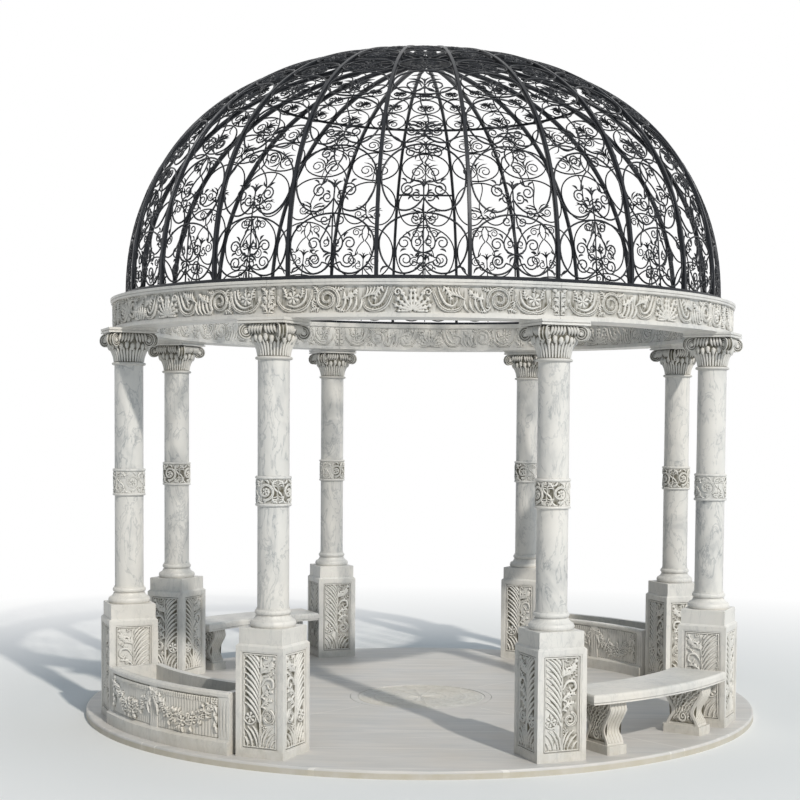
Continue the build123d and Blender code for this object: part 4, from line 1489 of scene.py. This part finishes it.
def medallion_mesh():
    relief = Relief(2 * pi * STRIP_RADIUS, FIELD_OUTER - FIELD_INNER, FIELD_CELL, FIELD_TOP)
    length = relief.u[-1]
    middle = (FIELD_OUTER + FIELD_INNER) / 2
    for radius, width in ((0.535, 0.01), (0.395, 0.008), (0.225, 0.008)):
        relief.stroke([(-length, radius - middle), (length, radius - middle)], width)
    for step in range(FIELD_SCROLLS):
        u = -length + 2 * length * (step + 0.5) / FIELD_SCROLLS
        relief.stroke([(u, 0.03 - middle), (u, 0.205 - middle)], (0.012, 0.04, 0.012), 0.9)
        relief.groove([(u, 0.05 - middle), (u, 0.19 - middle)], 0.006, 0.4)
        spin = 1 if step % 2 else -1
        scroll = wound((u, 0.465 - middle), 0.05, 0.01, -90 * spin, 520 * spin)
        relief.stroke(scroll, (0.01, 0.007))
        relief.leaf((u, 0.245 - middle), (u, 0.375 - middle), 0.055, lobes=3)

    def place(u, v, height):
        return polar(middle + v, u / STRIP_RADIUS, FIELD_GROUND + height)

    return relief.solid(place, FIELD_TRIANGLES, THIN_BACK)


repeated("medallion_carving", medallion_mesh(), AT_MIDDLE, floor_carving)

# %% [markdown]
# ## The iron dome
# The dome's outline is a rounded box curve: it stands nearly upright at the foot and lies
# nearly flat at the top. Ironwork is drawn flat, as lines across one bay with a girth at
# each point, and `on_dome` lays a flat point on the dome by its distance along the curve. A
# second Geometry Nodes tree turns the lines into round bars and sets them in all 24 bays.

# %% Lay flat drawings on the dome
RIBS = 24
FIRST_RIB = radians(-81)
RIB_WIDTH = 0.026
RIB_DEPTH = 0.036
ROUNDNESS = 2.24
DOME_FOOT = high("dome_base_hoop")
DOME_RISE = high("dome_crown") - DOME_FOOT
DOME_RADIUS = float(plan("dome_ribs_1")[0].max())
LOOP_GIRTH = 0.0072
SCROLL_GIRTH = 0.0058
LEAF_GIRTH = 0.0085

slopes = np.linspace(0, pi / 2, 4000)
curve_out = np.cos(slopes) ** (2 / ROUNDNESS)
curve_up = np.sin(slopes) ** (2 / ROUNDNESS)
travelled = np.concatenate(
    [[0], np.cumsum(np.hypot(np.diff(curve_out) * DOME_RADIUS, np.diff(curve_up) * DOME_RISE))]
)


def on_curve(along, inset):
    """Radius and level of a point some way up the dome's curve and a little inside it."""
    r = float(np.interp(along, travelled, curve_out))
    z = float(np.interp(along, travelled, curve_up))
    power = ROUNDNESS - 1
    facing = Vector((r**power / DOME_RADIUS, z**power / DOME_RISE)).normalized()
    return DOME_RADIUS * r - inset * facing.x, DOME_FOOT + DOME_RISE * z - inset * facing.y


def on_dome(across, along, inset):
    radius, level = on_curve(along, inset)
    return polar(radius, across / max(radius, 0.05), level)


def way_up(rise):
    """Distance along the curve at a rise above the foot."""
    return float(np.interp(rise / DOME_RISE, curve_up, travelled))


def half_bay(along):
    return on_curve(along, RIB_DEPTH / 2)[0] * pi / RIBS - RIB_WIDTH / 2


class Ironwork:
    """Lines of one bay, drawn flat and mirrored, with a girth at each point."""

    def __init__(self, inset=RIB_DEPTH / 2):
        self.inset = inset
        self.spots, self.edges, self.girths = [], [], []

    def line(self, points, girths, closed=False):
        start = len(self.spots)
        count = len(points)
        self.spots += [on_dome(x, y, self.inset) for x, y in points]
        self.girths += list(spread(girths, count))
        self.edges += [(start + i, start + i + 1) for i in range(count - 1)]
        if closed:
            self.edges.append((start + count - 1, start))

    def pair(self, points, girths):
        self.line(points, girths)
        self.line([(-x, y) for x, y in points], girths)

    def coil(self, centre, radius, inner, start, sweep, girth, count):
        self.pair(wound(centre, radius, inner, start, sweep, count), (girth, girth, girth * 0.6))

    def leaf(self, root, tip, girth=LEAF_GIRTH, bow=0.2):
        self.pair(bent(root, tip, bow, 5), (0.002, girth, girth * 0.9, 0.0015))

    def loop(self, foot, head, girth, lobed, count=25):
        """A round arch over two lobes and a cusp between them, or a plain oval."""
        lobe = 0.44 if lobed else 0.0
        last = pi + asin(lobe / (1 - lobe))
        right = []
        for turn in np.linspace(0, last, count):
            shift = lobe if turn > pi / 2 else 0.0
            y = (foot + head) / 2 + ((head - foot) / 2 - girth) * cos(turn)
            right.append(((shift + (1 - shift) * sin(turn)) * (half_bay(y) - girth * 0.5), y))
        left = [(-x, y) for x, y in right[-2:0:-1]]
        self.line(right + left, girth, closed=True)

    def mesh(self, name):
        made = bpy.data.meshes.new(name)
        made.from_pydata(self.spots, self.edges, [])
        made.attributes.new("girth", "FLOAT", "POINT").data.foreach_set("value", self.girths)
        return made


bars_tree = Geometry("round_bars", **ROUND, Sides="Int")
bar_curves = bars_tree.out("GeometryNodeMeshToCurve", {"Mesh": bars_tree.given["Geometry"]})
bar_girth = bars_tree.out("GeometryNodeInputNamedAttribute", {"Name": "girth"}, data_type="FLOAT")
circle = {"Resolution": bars_tree.given["Sides"], "Radius": 1.0}
bar_section = bars_tree.out("GeometryNodeCurvePrimitiveCircle", circle)
sweep = {"Curve": bar_curves, "Profile Curve": bar_section, "Scale": bar_girth, "Fill Caps": True}
bars_tree.finish(bars_tree.turned_copies(bars_tree.out("GeometryNodeCurveToMesh", sweep)))
AT_RIBS = around(RIBS, FIRST_RIB, 4 * pi / RIBS, 2 * pi / RIBS)
IN_BAYS = {**AT_RIBS, "First": FIRST_RIB + pi / RIBS}
BARS_SMOOTH_UNDER = radians(95)


def wrought(name, drawing, sides, replaced):
    """Turn a drawing into round bars in all the bays, and settle them as one piece."""
    piece = bars_tree.applied(name, drawing.mesh(name), Material=black_iron, Sides=sides, **IN_BAYS)
    facing_outward(piece.data)
    settle(piece, replaced, BARS_SMOOTH_UNDER)


print("the dome's curve is", round(float(travelled[-1]), 3), "m long")

# %% [markdown]
# The three lower tiers each have their own ornament: spirals and rings at a stem, then a
# forked stem, then a wavy one with leaves. Their heights are measured up from the tier's
# foot, or down from its head where they are below nought.

# %% Draw the lower tiers
TIER_RISES = (0.006, 0.45, 0.957, 1.352, 1.59, 1.726)
tier_edges = [way_up(rise) for rise in TIER_RISES]
lower = Ironwork()


def lower_tier(foot, head, paths=(), coils=(), links=(), leaves=()):
    """A lobed loop and its ornament: free paths, spirals, bent links and leaves, each a pair."""

    def at(spot):
        return (spot[0], spot[1] + (foot if spot[1] >= 0 else head))

    lower.loop(foot, head, LOOP_GIRTH, lobed=True)
    for path in paths:
        lower.pair([at(spot) for spot in smooth_path(path, 5)], SCROLL_GIRTH)
    for centre, radius, inner, start, sweep, thickness, count in coils:
        lower.coil(at(centre), radius, inner, start, sweep, SCROLL_GIRTH * thickness, count)
    for root, tip, bow, thickness, count in links:
        lower.pair(bent(at(root), at(tip), bow, count), (SCROLL_GIRTH, SCROLL_GIRTH * thickness))
    for root, tip, *form in leaves:
        lower.leaf(at(root), at(tip), *form)


foot, head = tier_edges[:2]
lower.line([(0, foot), (0, head)], SCROLL_GIRTH)
lower_tier(
    foot,
    head,
    paths=[
        ((0.012, 0.425), (0.022, 0.365), (0.052, 0.3), (0.082, 0.238), (0.066, 0.18), (0.0, 0.15)),
    ],
    coils=[
        ((0.04, 0.228), 0.028, 0.009, -60, -430, 0.9, 14),
        ((0.132, 0.222), 0.047, 0.016, 170, -470, 1.0, 18),
        ((0.122, 0.104), 0.056, 0.014, -165, 580, 1.0, 22),
        ((0.056, 0.39), 0.034, 0.01, -130, 430, 0.9, 14),
    ],
    links=[((0.0, 0.05), (0.069, 0.09), 0.1, 1.0, 4)],
    leaves=[
        ((0.004, 0.345), (0.05, 0.32)),
        ((0.004, 0.15), (0.06, 0.122), 0.009),
        ((0.004, 0.14), (0.04, 0.088), 0.008),
        ((0.3, 0.012), (0.235, 0.05), 0.008, -0.3),
        ((0.064, 0.19), (0.034, 0.158)),
        ((0.092, 0.262), (0.122, 0.298)),
        ((0.118, 0.176), (0.16, 0.158)),
        ((0.03, 0.272), (0.01, 0.236)),
    ],
)

foot, head = tier_edges[1:3]
lower.line([(0, foot), (0, foot + 0.2)], SCROLL_GIRTH)
lower_tier(
    foot,
    head,
    paths=[((0.006, -0.01), (0.03, -0.055), (0.03, -0.115), (0.006, -0.165))],
    coils=[
        ((0.112, 0.165), 0.052, 0.013, 115, -560, 1.0, 20),
        ((0.048, 0.115), 0.038, 0.012, -120, 430, 1.0, 16),
        ((0.092, -0.08), 0.042, 0.012, 150, -520, 1.0, 18),
    ],
    links=[
        ((0.006, -0.165), (0.088, 0.215), 0.1, 1.0, 6),
        ((0.056, -0.06), (0.012, -0.012), 0.2, 0.8, 4),
    ],
    leaves=[
        ((0.005, 0.185), (0.06, 0.235), 0.009),
        ((0.005, 0.18), (0.016, 0.25), 0.008),
        ((0.02, -0.09), (0.062, -0.14), 0.008),
        ((0.1, 0.216), (0.062, 0.262)),
        ((0.118, 0.218), (0.158, 0.246)),
        ((0.074, 0.112), (0.108, 0.086)),
        ((0.03, 0.14), (0.062, 0.16)),
    ],
)

foot, head = tier_edges[2:4]
root, tall = foot + 0.075, head - foot - 0.085
sway = [(0.03 * sin(5.2 * share), root + tall * share) for share in np.linspace(0, 1, 14)]
lower.line(sway, SCROLL_GIRTH)
lower_tier(
    foot,
    head,
    coils=[((0.092, 0.112), 0.044, 0.012, -150, 520, 1.0, 18)],
    links=[((0.0, 0.07), (0.054, 0.09), 0.1, 1.0, 4)],
    leaves=[
        ((0.006, 0.13), (0.15, 0.16), 0.0085, 0.16),
        ((0.006, 0.14), (0.105, 0.205), 0.0085, 0.16),
        ((0.006, 0.12), (0.062, 0.062), 0.0075, 0.16),
        ((0.088, 0.154), (0.132, 0.186)),
        ((0.06, 0.104), (0.024, 0.082)),
    ],
)
wrought("dome_ironwork_lower", lower, 5, ("dome_scrolls_1", "dome_scrolls_2", "dome_scrolls_3"))

# %% [markdown]
# The bays narrow towards the crown. From the fourth tier up the loops are ovals, each with a
# small bow of two spirals and a few leaves in it. Three more tiers stand above the upper
# hoop.

# %% Draw the upper tiers
UPPER_RISES = (1.752, 1.868, 1.95, 2.008)
upper = Ironwork(RIB_DEPTH * 0.3)
tiers = list(zip(tier_edges[3:], tier_edges[4:]))
above_hoop = [way_up(rise) for rise in UPPER_RISES]
tiers += list(zip(above_hoop, above_hoop[1:]))
for place, (foot, head) in enumerate(tiers):
    tall = head - foot
    wide = half_bay((foot + head) / 2)
    girth, count = (LOOP_GIRTH, 15) if place < 2 else (LOOP_GIRTH * 0.85, 12)
    upper.loop(foot, head, girth, lobed=False, count=count)
    bow = min(0.27 * wide, 0.22 * tall)
    middle = foot + 0.34 * tall
    upper.coil((bow * 1.35, middle), bow, bow * 0.3, 190, -470, SCROLL_GIRTH * 1.1, 13)
    upper.line([(0, foot), (0, foot + 0.62 * tall)], (SCROLL_GIRTH, SCROLL_GIRTH * 0.5))
    upper.leaf((0.003, middle), (1.9 * bow, middle + 1.5 * bow), 0.009)
    upper.leaf((0.003, middle), (1.5 * bow, middle - 1.25 * bow), bow=-0.2)
    upper.leaf((0.003, middle + 0.2 * bow), (0.75 * bow, middle + 1.9 * bow))
    if place < 3:
        upper.leaf((0.003, head - 0.006), (0.42 * wide, head - 0.26 * tall), 0.0065, -0.2)

wrought("dome_ironwork_upper", upper, 4, ("dome_scrolls_4", "dome_scrolls_5"))

# %% Bend smooth ribs
RIB_STEPS = 44
# Half a width across and a depth in, round the rib's section with its edges taken off
HALF_SECTION = ((0.8, 0), (1, 0.12), (1, 0.88), (0.8, 1))
RIB_SECTION = ((-0.8, 0), *HALF_SECTION, (-0.8, 1), (-1, 0.88), (-1, 0.12))


def rib_mesh():
    """One rib with rounded edges, bent smoothly along the dome's curve."""
    crown_radius = float(plan("dome_crown")[0].max())
    top = float(np.interp(-crown_radius / DOME_RADIUS, -curve_out, travelled))
    rings = []
    for share in np.linspace(0, 1, RIB_STEPS):
        ring = []
        for wide, deep in RIB_SECTION:
            radius, level = on_curve(top * share, RIB_DEPTH * deep)
            ring.append((max(radius, 0.0), wide * RIB_WIDTH / 2, level))
        rings.append(ring)
    shape = Shape()
    shape.skin(rings, 1.0)
    return shape.mesh("rib")


rib_names = tuple(f"dome_ribs_{i}" for i in range(1, 9))
repeated("dome_ribs_smooth", rib_mesh(), AT_RIBS, black_iron, replaced=rib_names)
